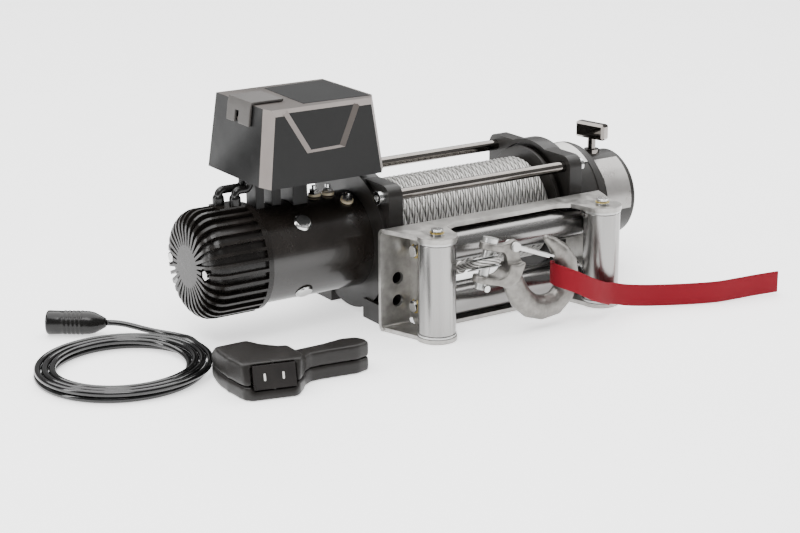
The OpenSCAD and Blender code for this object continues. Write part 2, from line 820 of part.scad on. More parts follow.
module latch_rivet() {
    color("#e6e5e2") hook_place() translate([latch_pivot[0], 0, latch_pivot[1]]) rotate([90, 0, 0]) {
        cylinder(h = latch_w + 2 * slip + rivet_head, r = latch_rivet_r, center = true, $fn = 24);
        for (s = [-1, 1]) translate([0, 0, s * (latch_w / 2 + slip + rivet_head / 2)])
            cylinder(h = rivet_head, r = rivet_head_r, center = true, $fn = rough);
    }
}

module hook_strap() {
    color("#b3202c") band(strap_points, strap_w, strap_t);
}

module flange_outline() {
    difference() {
        union() {
            polygon([[-fair_l / 2, fair_back], [-upright_x - ear_r * ear_share, upright_y - ear_r * ear_low_share],
                [-upright_x, upright_y], [upright_x, upright_y],
                [upright_x + ear_r * ear_share, upright_y - ear_r * ear_low_share], [fair_l / 2, fair_back]]);
            for (s = [-1, 1]) translate([s * upright_x, upright_y]) circle(r = ear_r, $fn = fine);
        }
        polygon([[-lip_x[0], fair_back - lip_out], [lip_x[0], fair_back - lip_out],
            [lip_x[1], fair_back - lip_out - lip_slope],
            [upright_x - ear_r, upright_y], [upright_x - ear_r, upright_y - 2 * ear_r],
            [ear_r - upright_x, upright_y - 2 * ear_r], [ear_r - upright_x, upright_y],
            [-lip_x[1], fair_back - lip_out - lip_slope]]);
    }
}

// The plate's bends: rounded outside and inside
module bend_cut() {
    difference() {
        translate([-fair_l / 2 - cut, fair_back - bend_r, -cut]) cube([fair_l + 2 * cut, bend_r + cut, bend_r + cut]);
        translate([0, fair_back - bend_r, bend_r]) bar_x(-fair_l, fair_l, bend_r);
    }
}

module bend_fill() {
    difference() {
        translate([-fair_l / 2, fair_front - bend_in, fair_t / 2]) cube([fair_l, bend_in, bend_in + fair_t / 2]);
        translate([0, fair_front - bend_in, fair_t + bend_in]) bar_x(-fair_l, fair_l, bend_in);
    }
}

module mirror_up() {
    translate([0, 0, fair_h]) mirror([0, 0, 1]) children();
}

module fairlead_frame() {
    color("#b4b5b6") difference() {
        union() {
            for (z = [0, fair_h - fair_t]) translate([0, 0, z]) linear_extrude(fair_t) flange_outline();
            translate([-fair_l / 2, fair_front, 0]) cube([fair_l, fair_t, fair_h]);
            bend_fill();
            mirror_up() bend_fill();
            for (s = [-1, 1]) translate([s > 0 ? tab_x : -tab_x - tab_t, level_y - tab_out, fair_t / 2])
                cube([tab_t, level_out + tab_out - fair_t / 2, fair_h - fair_t]);
        }
        bend_cut();
        mirror_up() bend_cut();
        translate([0, fair_back + cut, fair_mid]) rotate([90, 0, 0]) linear_extrude(fair_t + 2 * cut)
            offset(r = window_round, $fn = rough) square([window_l - 2 * window_round,
                window_h - 2 * window_round], center = true);
        for (s = [-1, 1]) {
            translate([s * upright_x, upright_y, -cut]) {
                cylinder(h = fair_h + 2 * cut, r = pin_r + slip, $fn = rough);
                cylinder(h = cut + head_t, r = head_r + slip, $fn = rough);
            }
            for (k = [0, 1]) translate([s * foot_bolt_x / 2, fair_front - cut, fair_bolt_low + k * fair_bolt_z])
                rotate([-90, 0, 0]) cylinder(h = fair_t + 2 * cut, r = fair_bolt_r, $fn = rough);
            for (u = [-1, 1]) translate([s > 0 ? tab_x - cut : -tab_x - tab_t - cut, level_y, fair_mid + u * level_up])
                bar_x(0, tab_t + 2 * cut, pin_r + slip, rough);
            translate([s > 0 ? tab_x - cut : -tab_x - tab_t - cut, fair_front - relief_in, fair_t / 2])
                bar_x(0, tab_t + 2 * cut, relief_r, rough);
        }
    }
}

module roller(r, l) {
    difference() {
        cylinder(h = l, r = r, center = true, $fn = fine);
        cylinder(h = l + 2 * cut, r = pin_r + run_fit, center = true, $fn = rough);
    }
}

upright_l = fair_h - 2 * fair_t - 2 * washer_t - 2 * loose;
level_l = 2 * (tab_x - washer_t - loose);

module left_roller() {
    color("#c7c7c7") translate([-upright_x, upright_y, fair_mid]) roller(upright_r, upright_l);
}

module right_roller() {
    color("#c7c7c7") translate([upright_x, upright_y, fair_mid]) roller(upright_r, upright_l);
}

module upper_roller() {
    color("#c7c7c7") translate([0, level_y, fair_mid + level_up]) rotate([0, 90, 0]) roller(level_r, level_l);
}

module lower_roller() {
    color("#c7c7c7") translate([0, level_y, fair_mid - level_up]) rotate([0, 90, 0]) roller(level_r, level_l);
}

// A roller pin along Z. Its head starts at the low end and its clip sits beyond the high end.
module roller_pin(low, high) {
    difference() {
        union() {
            translate([0, 0, low]) cylinder(h = head_t - slip, r = head_r, $fn = rough);
            translate([0, 0, low]) cylinder(h = high - low + pin_proud, r = pin_r, $fn = rough);
        }
        translate([0, 0, high + clip_out - slip]) difference() {
            cylinder(h = clip_t + 2 * slip, r = pin_r + cut, $fn = rough);
            cylinder(h = clip_t + 2 * slip, r = pin_r - groove_deep, $fn = rough);
        }
    }
}

// An open clip that sits in a pin's groove
module pin_clip(high) {
    translate([0, 0, high + clip_out]) linear_extrude(clip_t) difference() {
        circle(r = pin_r + clip_wide, $fn = rough);
        circle(r = pin_r - clip_grip, $fn = rough);
        translate([0, -pin_r / 2]) square([3 * pin_r, pin_r]);
    }
}

module upright_places() {
    for (s = [-1, 1]) translate([s * upright_x, upright_y, 0]) children();
}

module level_places() {
    for (u = [-1, 1]) translate([0, level_y, fair_mid + u * level_up]) rotate([0, -90, 0]) children();
}

tab_end = tab_x + tab_t;

module upright_pins() {
    color("#d8d8d6") upright_places() roller_pin(0, fair_h);
}

module level_pins() {
    color("#d8d8d6") level_places() roller_pin(-tab_end - head_t, tab_end);
}

module roller_clips() {
    color("#c5a94a") {
        upright_places() pin_clip(fair_h);
        level_places() pin_clip(tab_end);
    }
}

// A washer at each end of a roller
module end_washers(l, r) {
    for (e = [-1, 1]) translate([0, 0, e * (l / 2 + loose / 2 + washer_t / 2)]) difference() {
        cylinder(h = washer_t, r = r, center = true, $fn = fine);
        cylinder(h = 2 * washer_t, r = pin_r + slip, center = true, $fn = rough);
    }
}

module roller_washers() {
    color("#d9d8d4") {
        upright_places() translate([0, 0, fair_mid]) end_washers(upright_l, upright_r + upright_washer_over);
        level_places() end_washers(level_l, level_r - level_washer_under);
    }
}

module motor_case() {
    color("#2a2624") on_axis() difference() {
        bar_x(case_out, case_in, motor_r, 96);
        bar_x(case_out - cut, case_in + cut, case_bore, 96);
        for (a = pole_angles) rotate([a, 0, 0]) translate([pole_x, 0, 0])
            cylinder(h = 2 * motor_r, r = pole_shank_r + slip, $fn = rough);
        translate([0, 0, -axis_h]) terminal_places() translate([0, 0, -stud_deep - run_fit])
            cylinder(h = stud_up, r = stud_r + slip, $fn = rough);
    }
}

// Radius of the end cap at a share of its depth, rounded at the shoulder
module cap_profile(r, back) {
    polygon(concat([[0, 0], [r - cap_shoulder, 0], [r, cap_slope]],
        [for (a = [0 : 15 : 90]) [r - shoulder_r + shoulder_r * cos(a), cap_l - back - shoulder_r + shoulder_r * sin(a)]],
        [[0, cap_l - back]]));
}

module cap_turned(r, back) {
    translate([case_out, 0, 0]) rotate([0, -90, 0]) rotate_extrude($fn = 96) cap_profile(r, back);
}

module motor_end_cap() {
    color("#24211f") on_axis() difference() {
        union() {
            cap_turned(cap_r - rib_depth, rib_depth - end_gap);
            intersection() {
                for (i = [0 : rib_count - 1]) rotate([360 * i / rib_count, 0, 0])
                    translate([cap_out, -rib_t / 2, cap_disc_r - rib_root])
                        cube([cap_l - rib_end, rib_t, cap_r]);
                cap_turned(cap_r, 0);
            }
            bar_x(cap_out + cap_l * hub_share, cap_out, cap_disc_r);
            translate([boot_x[0] - boot_r - pad_edge, -pad_w / 2, 0]) cube([pad_l, pad_w, pad_z - axis_h]);
            bar_x(case_out, case_out - rib_end, cap_r - end_gap, 96);
        }
        bar_x(case_out + cut, cap_out + cap_wall, case_bore - cap_mouth, 96);
        bar_x(case_out, cap_out + cap_face_t, shaft_r + run_fit);
        for (a = [0, 180]) rotate([a, 0, 0]) {
            translate([cap_out - cut, bolt_reach, 0]) bar_x(0, cap_l + 2 * cut, bolt_r + slip, rough);
            translate([cap_out - cut, bolt_reach, 0]) bar_x(0, bolt_seat + cut, bolt_seat_r, rough);
        }
    }
}

module through_bolts() {
    color("#c0bfbc") on_axis() for (a = [0, 180]) rotate([a, 0, 0]) translate([0, bolt_reach, 0]) {
        bar_x(cap_out + bolt_seat, -support_out + bolt_short, bolt_r, rough);
        bar_x(cap_out + bolt_seat - bolt_head_t, cap_out + bolt_seat, bolt_head_r, 6);
    }
}

module pole_screws() {
    color("#d0cfcc") on_axis() for (a = pole_angles) rotate([a, 0, 0]) translate([pole_x, 0, 0]) {
        translate([0, 0, motor_r - pole_shank]) cylinder(h = pole_shank + pole_head / 2, r = pole_shank_r, $fn = rough);
        translate([0, 0, motor_r + slip])
            cylinder(h = pole_head, r1 = pole_head_r, r2 = pole_head_r - pole_dome, $fn = fine);
    }
}

// A stretch of a ring between two radii, centred on up
module arc_piece(r_in, r_out, l, arc) {
    rotate([0, 90, 0]) rotate([0, 0, 180 - arc / 2]) rotate_extrude(angle = arc, $fn = 96)
        translate([r_in, -l / 2]) square([r_out - r_in, l]);
}

module pole_shoes() {
    color("#54504c") on_axis() for (a = pole_angles) rotate([a, 0, 0]) difference() {
        translate([core_mid, 0, 0]) arc_piece(pole_in, case_bore - slip, pole_l, pole_arc);
        translate([pole_x, 0, motor_r - pole_shank - loose]) cylinder(h = motor_r, r = pole_shank_r + slip, $fn = rough);
    }
}

module field_coils() {
    color("#8a4b25") on_axis() for (a = pole_angles) rotate([a + 45, 0, 0])
        translate([core_mid, 0, 0]) arc_piece(bolt_reach + bolt_r + end_gap,
            case_bore - loose, pole_l + 2 * coil_over, coil_arc);
}

module brush_gear() {
    color("#6b4a2d") on_axis() {
        difference() {
            bar_x(brush_x, brush_x + brush_t, case_bore - cap_mouth - slip);
            bar_x(brush_x - cut, brush_x + brush_t + cut, comm_r + brush_room);
            for (a = [0, 180]) rotate([a, 0, 0]) translate([brush_x - cut, bolt_reach, 0])
                bar_x(0, brush_t + 2 * cut, bolt_r + slip, rough);
        }
        for (a = pole_angles) rotate([a, 0, 0])
            translate([brush_x + brush_t, -brush_w / 2, comm_r + loose]) cube([brush_l, brush_w, brush_up]);
    }
}

module armature() {
    color("#7d5a3c") on_axis() {
        bar_x(cap_out + shaft_end, comm_start, shaft_r);
        bar_x(comm_start, case_out, comm_r);
        bar_x(case_out, core_start, shaft_r + comm_neck);
        bar_x(core_start, core_end, armature_r, 96);
        bar_x(core_end, core_end + core_collar, armature_r - core_collar_in);
        bar_x(core_end + core_collar, -motor_neck - coupling_gap, journal_r);
    }
}

module drive_shaft() {
    color("#b9b7b2") on_axis() {
        bar_x(-motor_neck - coupling_gap, stage_x + gear_w + shaft_over, shaft_across, 6);
        plate_x(stage_x, stage_x + gear_w) toothed(sun_teeth, addendum, dedendum, -backlash / 2);
    }
}

module brake_cone() {
    color("#7a6f63") on_axis() difference() {
        union() {
            bar_x(brake_start, brake_step, drum_bore - slip);
            bar_x(brake_step, brake_end, brake_tip_r);
        }
        bar_x(brake_start - cut, brake_end + cut, shaft_across + end_gap);
    }
}

module gear_housing() {
    color("#1f1d1c") on_axis() difference() {
        union() {
            bar_x(gear_in, gear_out, gear_r - gear_step, 96);
            bar_x(gear_in, gear_in + gear_band, gear_r, 96);
            bar_x(gear_out - gear_lid, gear_out, gear_r, 96);
        }
        bar_x(gear_in - cut, gear_out - gear_lid, gear_r - gear_wall, 96);
        bar_x(gear_out - gear_lid - cut, gear_out + cut, hub_r + run_fit);
        for (i = [0 : 5]) rotate([i * 60 + 30, 0, 0])
            translate([gear_in, gear_r - screw_in, 0]) bar_x(0, gear_l, bolt_r + slip, rough);
    }
}

module end_housing() {
    color("#1f1d1c") difference() {
        on_axis() difference() {
            union() {
                bar_x(gear_out, end_out - end_edge, end_r, 96);
                translate([end_out - end_edge, 0, 0]) rotate([0, 90, 0])
                    cylinder(h = end_edge, r1 = end_r, r2 = end_r - end_edge, $fn = 96);
                bar_x(gear_out, gear_out + end_flange_t, gear_r - end_flange_in, 96);
            }
            bar_x(gear_out - cut, end_out - end_lid, end_r - end_wall, 96);
            for (i = [0 : 5]) rotate([i * 60 + 30, 0, 0])
                translate([gear_out - cut, gear_r - screw_in, 0]) bar_x(0, end_flange_t + 2 * cut, bolt_r + slip, rough);
        }
        translate([lever_x, 0, axis_h + end_r - lever_seat])
            cylinder(h = end_r, r = lever_base_r + slip, $fn = rough);
        translate([lever_x, 0, axis_h]) cylinder(h = 2 * end_r, r = plunger_r + slip, $fn = rough);
    }
}

module housing_screws() {
    color("#3a3937") on_axis() for (i = [0 : 5]) rotate([i * 60 + 30, 0, 0]) translate([0, gear_r - screw_in, 0]) {
        bar_x(support_out - screw_deep, gear_out + end_flange_t, bolt_r, rough);
        bar_x(gear_out + end_flange_t, gear_out + end_flange_t + screw_head, screw_head_r, 6);
    }
}

ring_phase = 180 * (planet_teeth + 1) / ring_teeth;

module ring_gear() {
    color("#8b8985") difference() {
        on_axis() difference() {
            bar_x(stage_x - end_gap, stage_x + gear_w + end_gap, ring_r, 96);
            plate_x(stage_x - 2 * end_gap, stage_x + gear_w + 2 * end_gap) rotate(ring_phase)
                toothed(ring_teeth, dedendum, addendum, backlash / 2);
        }
        translate([lever_x, 0, axis_h + ring_r - plunger_seat])
            cylinder(h = 2 * plunger_r, r = plunger_r + loose, $fn = rough);
    }
}

module planet_carrier() {
    color("#a09d98") on_axis() {
        difference() {
            union() {
                bar_x(carrier_x, carrier_x + carrier_t, carrier_r);
                bar_x(gear_in + hub_step, carrier_x, hub_r);
                bar_x(support_in + bushing_wall, gear_in + hub_step, drum_bore - slip);
            }
            bar_x(support_in, carrier_x + carrier_t + cut, shaft_across + shaft_room);
        }
        for (k = [0 : 2]) rotate([120 * k, 0, 0]) translate([carrier_x + carrier_t, planet_orbit, 0])
            bar_x(0, gear_w + planet_pin_over, planet_pin_r, rough);
    }
}

module planet(k) {
    turn = 120 * k;
    color("#9b9892") on_axis() rotate([turn, 0, 0]) translate([0, planet_orbit, 0]) difference() {
        plate_x(stage_x, stage_x + gear_w)
            rotate(180 + turn * sun_teeth / planet_teeth + 180 / planet_teeth)
            toothed(planet_teeth, addendum, dedendum, -backlash / 2);
        bar_x(stage_x - cut, stage_x + gear_w + cut, planet_pin_r + run_fit, rough);
    }
}

module planet_gear_a() {
    planet(0);
}

module planet_gear_b() {
    planet(1);
}

module planet_gear_c() {
    planet(2);
}

// A rectangle with small corner chamfers
module chamfered(l, w) {
    c = handle_edge;
    polygon([[-l / 2 + c, -w / 2], [l / 2 - c, -w / 2], [l / 2, -w / 2 + c], [l / 2, w / 2 - c],
        [l / 2 - c, w / 2], [-l / 2 + c, w / 2], [-l / 2, w / 2 - c], [-l / 2, c - w / 2]]);
}

module clutch_lever() {
    top = axis_h + end_r;
    color("#8f8b86") translate([lever_x, 0, 0]) {
        difference() {
            union() {
                translate([0, 0, top - lever_sunk]) cylinder(h = lever_base_t, r = lever_base_r, $fn = rough);
                translate([0, 0, top]) cylinder(h = handle_z - top + end_gap, r = lever_post_r, $fn = rough);
            }
            translate([0, 0, top - lever_sunk - cut])
                cylinder(h = lever_sunk + cut + plunger_room, r = plunger_r + slip, $fn = rough);
        }
        rotate([0, 0, -handle_turn]) translate([0, 0, handle_z + handle_h / 2]) intersection() {
            linear_extrude(handle_h, center = true) chamfered(handle_l, handle_w);
            rotate([90, 0, 0]) linear_extrude(handle_w, center = true) chamfered(handle_l, handle_h);
            rotate([0, 90, 0]) linear_extrude(handle_l, center = true) chamfered(handle_h, handle_w);
        }
    }
}

module clutch_plunger() {
    color("#b9b7b2") translate([lever_x, 0, axis_h + ring_r - plunger_grip])
        cylinder(h = plunger_l, r = plunger_r, $fn = rough);
}

// One level of the control box: cut front corners and drafted sides
module box_level(z, inset) {
    rise = (z - box_z) / box_h;
    l = bx - box_draft_x * rise - inset;
    w = by - box_draft_y * rise - inset;
    translate([box_x, box_y, z]) linear_extrude(skin_t) polygon([[-l + corner_l, -w],
        [l - corner_r, -w], [l, box_chamfer - w], [l, w], [-l, w], [-l, box_chamfer - w]]);
}

// The box's outer or inner shape, with its front rim bevelled
module box_shape(inset) {
    front = box_y - by + box_draft_y * (1 - box_rim / box_h) + inset;
    difference() {
        hull() {
            box_level(box_z, inset);
            box_level(box_top - skin_t, inset);
        }
        translate([box_x - box_l, front, box_top - box_rim]) rotate([45, 0, 0])
            translate([0, -2 * box_rim, 0]) cube([2 * box_l, 6 * box_rim, 2 * box_rim]);
    }
}

module box_cover() {
    front = atan(box_draft_y / box_h);
    color("#1d1d1f") difference() {
        box_shape(0);
        translate([0, 0, -box_wall]) box_shape(box_wall);
        translate([box_x, box_y - by, box_z]) rotate([-front, 0, 0]) rotate([90, 0, 0])
            translate([0, 0, -recess_cut]) linear_extrude(4 * recess_cut)
            polygon([for (q = recess_share) [q[0] * bx, q[1] * box_h]]);
        translate([socket_x - socket_cut, socket_y, socket_z]) bar_x(0, 2 * socket_cut, socket_r + slip);
    }
}

module base_plate() {
    l = bx - box_wall - base_gap;
    w = by - box_wall - base_gap;
    translate([box_x, box_y, box_z]) linear_extrude(base_t) polygon([[-l + corner_l, -w],
        [l - corner_r, -w], [l, box_chamfer - w], [l, w], [-l, w], [-l, box_chamfer - w]]);
}

module box_base() {
    color("#151414") difference() {
        union() {
            base_plate();
            for (q = leg_share)
                translate([case_out + (q[0] - q[1] / 2) * leg_room, -q[2] * by / 2, axis_h + motor_r - leg_sunk])
                    cube([q[1] * leg_room, q[2] * by, box_up + leg_sunk + end_gap]);
        }
        on_axis() bar_x(cap_out, 0, motor_r + saddle_fit, 96);
    }
}

module contactor() {
    color("#2e2c2a") {
        translate([box_x - contactor_l / 2, -contactor_w / 2, box_z + base_t])
            cube([contactor_l, contactor_w, contactor_h]);
        for (s = [-1, 1], t = [-1, 1])
            translate([box_x + s * contactor_post_x, t * contactor_post_y, box_z + base_t + contactor_h])
                cylinder(h = contactor_post_h, r = contactor_post_r, $fn = 24);
    }
}

module terminal_places() {
    on_axis() for (i = [0 : 2]) rotate([terminal_turn[i], 0, 0])
        translate([case_in - terminal_in[i], 0, motor_r]) children();
}

module terminal_studs() {
    color("#b8b6b1") terminal_places() {
        translate([0, 0, -stud_deep]) cylinder(h = stud_deep + stud_up, r = stud_r, $fn = rough);
        translate([0, 0, washer_up]) cylinder(h = terminal_nut, r = terminal_nut_r, $fn = 6);
    }
}

module terminal_washers() {
    color("#cfc3a0") terminal_places() difference() {
        translate([0, 0, run_fit]) cylinder(h = washer_up - run_fit, r = terminal_washer_r, $fn = rough);
        cylinder(h = stud_up, r = stud_r + slip, $fn = rough);
    }
}

// A quarter bend of a lead that leads up at first and then along X, or the other way round
module lead_bend(first) {
    rotate([90, 0, 0]) rotate([0, 0, first ? 90 : -90]) rotate_extrude(angle = 90, $fn = rough)
        translate([lead_turn, 0]) circle(r = battery_r, $fn = 24);
}

module motor_leads() {
    color("#161514") for (i = [0, 1]) translate([boot_x[i], boot_y[i], 0]) {
        run = boot_shift[i] - 2 * lead_turn;
        bend_z = boot_top + boot_neck;
        translate([0, 0, pad_z + run_fit]) cylinder(h = boot_h - run_fit, r = boot_r, $fn = rough);
        translate([0, 0, boot_top]) sphere(r = boot_r, $fn = rough);
        translate([lead_turn, 0, bend_z]) lead_bend(true);
        translate([lead_turn, 0, bend_z + lead_turn]) bar_x(0, run, battery_r, 24);
        translate([lead_turn + run, 0, bend_z + 2 * lead_turn]) lead_bend(false);
        translate([boot_shift[i], 0, bend_z + 2 * lead_turn])
            cylinder(h = box_z - bend_z - 2 * lead_turn, r = battery_r, $fn = 24);
    }
}

module remote_socket() {
    color("#2b2a29") translate([socket_x, socket_y, socket_z]) difference() {
        bar_x(0, socket_l, socket_r);
        bar_x(-cut, socket_deep, socket_r - socket_wall);
    }
}

// The rubber flap lies over the top edge of the box and hangs down its end
module socket_cover() {
    x0 = box_end + box_draft_x;
    z0 = box_top + flap_top;
    wide = flap_y[1] - flap_y[0];
    color("#3a3838") difference() {
        union() {
            translate([box_end + flap_in, flap_y[1], z0 + flap_t / 2]) rotate([90, 0, 0])
                cylinder(h = wide, r = flap_roll, $fn = 48);
            translate([0, flap_y[1], 0]) rotate([90, 0, 0]) linear_extrude(wide)
                polygon([[box_end + flap_in, z0], [x0 + flap_bend, z0], [x0 - flap_lean, box_top - flap_high[0]],
                    [x0 - flap_hang, box_top - flap_low[0]], [x0 - flap_hang - flap_t, box_top - flap_low[1]],
                    [x0 - flap_lean - flap_t, box_top - flap_high[1]], [x0 + flap_fold, z0 + flap_t],
                    [box_end + flap_in, z0 + flap_t]]);
        }
        translate([x0 - flap_slot_out, flap_slot_y, box_top - flap_slot_low]) cube(flap_slot);
    }
}

handset_plan = [[-366, -112], [-363, -106], [-345, -106], [-338, -110], [-332, -124], [-325, -140],
    [-313, -155], [-298, -161], [-270, -161], [-240, -157], [-226, -162], [-221, -172], [-223, -183],
    [-238, -187], [-273, -182], [-290, -181], [-300, -187], [-308, -197], [-317, -206], [-323, -208],
    [-366, -197], [-372, -190], [-374, -160], [-372, -135]];
grip_from = -304;
grip_h = 31;
face_at = [-343, -203, 4];
face_lean = 15;
face_turn = 14;
pocket_up = 19.5;
pocket_l = 45;
pocket_w = 25;
pocket_depth = 9;
rocker_l = 43.4;
rocker_w = 24;
rocker_t = 5.5;
rocker_pin = 1.6;
rocker_pin_over = 3;
rocker_proud = 1.5;
shell_room = 120;
back_y = -106;
back_z = 24;
back_lean = 34;
front_low = 10;

module handset_face() {
    translate(face_at) rotate([0, 0, -face_turn]) rotate([-face_lean, 0, 0]) children();
}

module rocker_axis(r, l) {
    translate([0, pocket_depth / 3, pocket_up]) cylinder(h = l, r = r, center = true, $fn = 24);
}

module handset_body(z0, z1) {
    difference() {
        translate([0, 0, z0]) linear_extrude(z1 - z0) polygon(handset_plan);
        translate([grip_from, back_y - shell_room, grip_h]) cube([shell_room, shell_room, shell_room]);
        translate([grip_from - shell_room, back_y, back_z]) rotate([-back_lean, 0, 0])
            translate([0, -shell_room / 2, 0]) cube([shell_room, shell_room, shell_room / 2]);
        handset_face() {
            translate([-shell_room / 2, -shell_room, -front_low]) cube([shell_room, shell_room, shell_room]);
            translate([-pocket_l / 2, -cut, pocket_up - pocket_w / 2]) cube([pocket_l, pocket_depth + cut, pocket_w]);
            rocker_axis(rocker_pin + run_fit, rocker_w + 2 * rocker_pin_over);
        }
    }
}

module handset_top() {
    color("#2a2624") handset_body(shell_split, handset_h);
}

module handset_base() {
    color("#25211f") handset_body(0, shell_split);
}

module handset_rocker() {
    color("#141312") handset_face() {
        translate([-rocker_l / 2, -rocker_proud, pocket_up - rocker_w / 2]) cube([rocker_l, rocker_t, rocker_w]);
        rocker_axis(rocker_pin, rocker_w + 2 * rocker_pin_over - end_gap);
    }
}

// The coil: the lower layer spirals in, the upper layer spirals out again
climb_share = 0.5;
coil_rings = 24;
coil_total = 2 * coil_turns * coil_rings;
coil_points = [for (i = [0 : coil_total])
    let(turn = i / coil_rings, mid = coil_turns,
        inward = turn < mid ? turn : 2 * mid - turn,
        climb = min(max((turn - (mid - climb_share / 2)) / climb_share, 0), 1),
        r = coil_r - coil_step * inward,
        a = 360 * turn)
    [coil_c[0] + r * cos(a), coil_c[1] + r * sin(a), coil_base + coil_lift * climb]];
coil_refs = [for (p = coil_points) [p[0] - coil_c[0], p[1] - coil_c[1], 0]];

module below_floor() {
    translate([coil_c[0] - 2 * coil_r, coil_c[1] - 2 * coil_r, -2 * lead_r])
        cube([4 * coil_r, 4 * coil_r, 2 * lead_r]);
}

module lead_coil() {
    color("#141414") difference() {
        tube(coil_points, coil_refs, lead_r, 6);
        below_floor();
    }
}

module lead_run() {
    color("#141414") {
        tube(run_plug, [for (p = run_plug) [0, 0, 1]], lead_r, 8);
        difference() {
            tube(run_handset, [for (p = run_handset) [0, 0, 1]], lead_r, 8);
            below_floor();
        }
    }
}

module remote_plug() {
    color("#1c1b1a") translate(plug_at) rotate([0, 0, plug_turn]) {
        rotate([0, 90, 0]) cylinder(h = plug_neck, r1 = plug_neck_r, r2 = plug_r, $fn = fine);
        bar_x(plug_neck, plug_l, plug_r);
    }
}

motor_support();
gear_support();
tie_rods();
tie_rod_bolts();
drum();
drum_bushings();
rope_core();
rope_winding();
rope_tail();
rope_ferrule();
thimble();
clevis_pin();
cotter_pin();
hook();
hook_latch();
latch_rivet();
hook_strap();
fairlead_frame();
left_roller();
right_roller();
upper_roller();
lower_roller();
upright_pins();
level_pins();
roller_clips();
roller_washers();
motor_case();
motor_end_cap();
through_bolts();
pole_screws();
pole_shoes();
field_coils();
brush_gear();
armature();
drive_shaft();
brake_cone();
gear_housing();
end_housing();
housing_screws();
ring_gear();
planet_carrier();
planet_gear_a();
planet_gear_b();
planet_gear_c();
clutch_lever();
clutch_plunger();
box_cover();
box_base();
contactor();
terminal_studs();
terminal_washers();
motor_leads();
remote_socket();
socket_cover();
handset_top();
handset_base();
handset_rocker();
lead_coil();
lead_run();
remote_plug();
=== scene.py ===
import math
import json
import bpy, bmesh
import numpy as np
from mathutils import Matrix, Vector


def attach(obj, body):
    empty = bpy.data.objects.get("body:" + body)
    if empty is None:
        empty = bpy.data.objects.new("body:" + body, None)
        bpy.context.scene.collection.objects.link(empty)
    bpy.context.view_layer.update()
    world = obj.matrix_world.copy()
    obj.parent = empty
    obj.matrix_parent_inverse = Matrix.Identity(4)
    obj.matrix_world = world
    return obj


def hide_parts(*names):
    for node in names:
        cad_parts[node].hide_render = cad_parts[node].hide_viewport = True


# A recovery winch with its pull strap and unplugged handset: the CAD nodes are finished and dressed here

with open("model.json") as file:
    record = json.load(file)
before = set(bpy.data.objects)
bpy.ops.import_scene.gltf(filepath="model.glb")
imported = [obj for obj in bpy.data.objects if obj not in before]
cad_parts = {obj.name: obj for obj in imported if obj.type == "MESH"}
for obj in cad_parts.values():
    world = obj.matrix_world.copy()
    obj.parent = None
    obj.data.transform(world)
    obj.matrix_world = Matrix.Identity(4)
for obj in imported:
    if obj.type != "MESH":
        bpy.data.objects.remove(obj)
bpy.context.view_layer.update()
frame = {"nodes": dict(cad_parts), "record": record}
nodes = frame["nodes"]
print("frame loaded, %d nodes" % len(nodes))

mmPerMetre = 1000  # a dictionary whose note says mm is divided by this, and the others are in metres
white = (1, 1, 1, 1)


# Camera, floor and light

view = {
    "place": (-1.157641, -1.688151, 0.654338),
    "right": (0.836229, -0.548370, -0.003323),
    "up": (0.163615, 0.243709, 0.955948),
    "lens": 82.99,
    "sensor": 36,
    "shift": -0.0126,
    "clip": (0.05, 60),
}


def addCamera():
    # the columns of the camera's turn are right, up and their cross product, which points back
    data = bpy.data.cameras.new("camera")
    data.lens, data.sensor_width, data.shift_x = view["lens"], view["sensor"], view["shift"]
    data.clip_start, data.clip_end = view["clip"]
    cam = bpy.data.objects.new("camera", data)
    bpy.context.scene.collection.objects.link(cam)
    right, up = Vector(view["right"]), Vector(view["up"])
    back = right.cross(up)
    turn = Matrix((right, up, back)).transposed().to_4x4()
    cam.matrix_world = Matrix.Translation(view["place"]) @ turn
    bpy.context.scene.camera = cam


studio = {
    "sky": {"place": (0.6, 1.7, 3.6), "aim": (0.6, 1.71, 0), "size": (7.5, 6.5), "power": 700},
    "key": {"place": (-1.1, -1.1, 1.9), "aim": (-0.05, 0, 0.1), "size": (1.1, 0.7), "power": 26},
    "left": {"place": (-2.0, 0.2, 0.8), "aim": (-0.1, 0, 0.15), "size": (0.3, 1.4), "power": 16},
    "right": {"place": (1.9, -0.9, 0.9), "aim": (0, 0, 0.15), "size": (0.3, 1.4), "power": 16},
}

surround = {"colour": white, "strength": 0.35}


def addStudio():
    # soft rectangular lights, each turned from its place to its aim, in an even white surround
    for name, spec in studio.items():
        data = bpy.data.lights.new(name, "AREA")
        data.shape = "RECTANGLE"
        data.size, data.size_y = spec["size"]
        data.energy = spec["power"]
        lamp = bpy.data.objects.new(name, data)
        bpy.context.scene.collection.objects.link(lamp)
        lamp.location = spec["place"]
        towards = Vector(spec["aim"]) - Vector(spec["place"])
        lamp.rotation_euler = towards.to_track_quat("-Z", "Y").to_euler()
    world = bpy.data.worlds.new("studio")
    bpy.context.scene.world = world
    world.use_nodes = True
    background = world.node_tree.nodes["Background"]
    background.inputs["Color"].default_value = surround["colour"]
    background.inputs["Strength"].default_value = surround["strength"]


paleFloor = {"size": 14, "level": -0.0002, "colour": (0.97, 0.97, 0.97, 1), "rough": 0.3, "glow": 1.1}


def addFloor():
    # a level square just below the winch's feet
    bpy.ops.mesh.primitive_plane_add(size=paleFloor["size"], location=(0, 0, paleFloor["level"]))
    floor = bpy.context.object
    floor.name = "floor"
    mat = bpy.data.materials.new("paleFloor")
    mat.use_nodes = True
    shader = mat.node_tree.nodes["Principled BSDF"]
    shader.inputs["Base Color"].default_value = paleFloor["colour"]
    shader.inputs["Roughness"].default_value = paleFloor["rough"]
    shader.inputs["Emission Color"].default_value = white
    shader.inputs["Emission Strength"].default_value = paleFloor["glow"]
    floor.data.materials.append(mat)


addCamera()
addStudio()
addFloor()
print("camera, floor and light made")


# Lines and surfaces as whole arrays

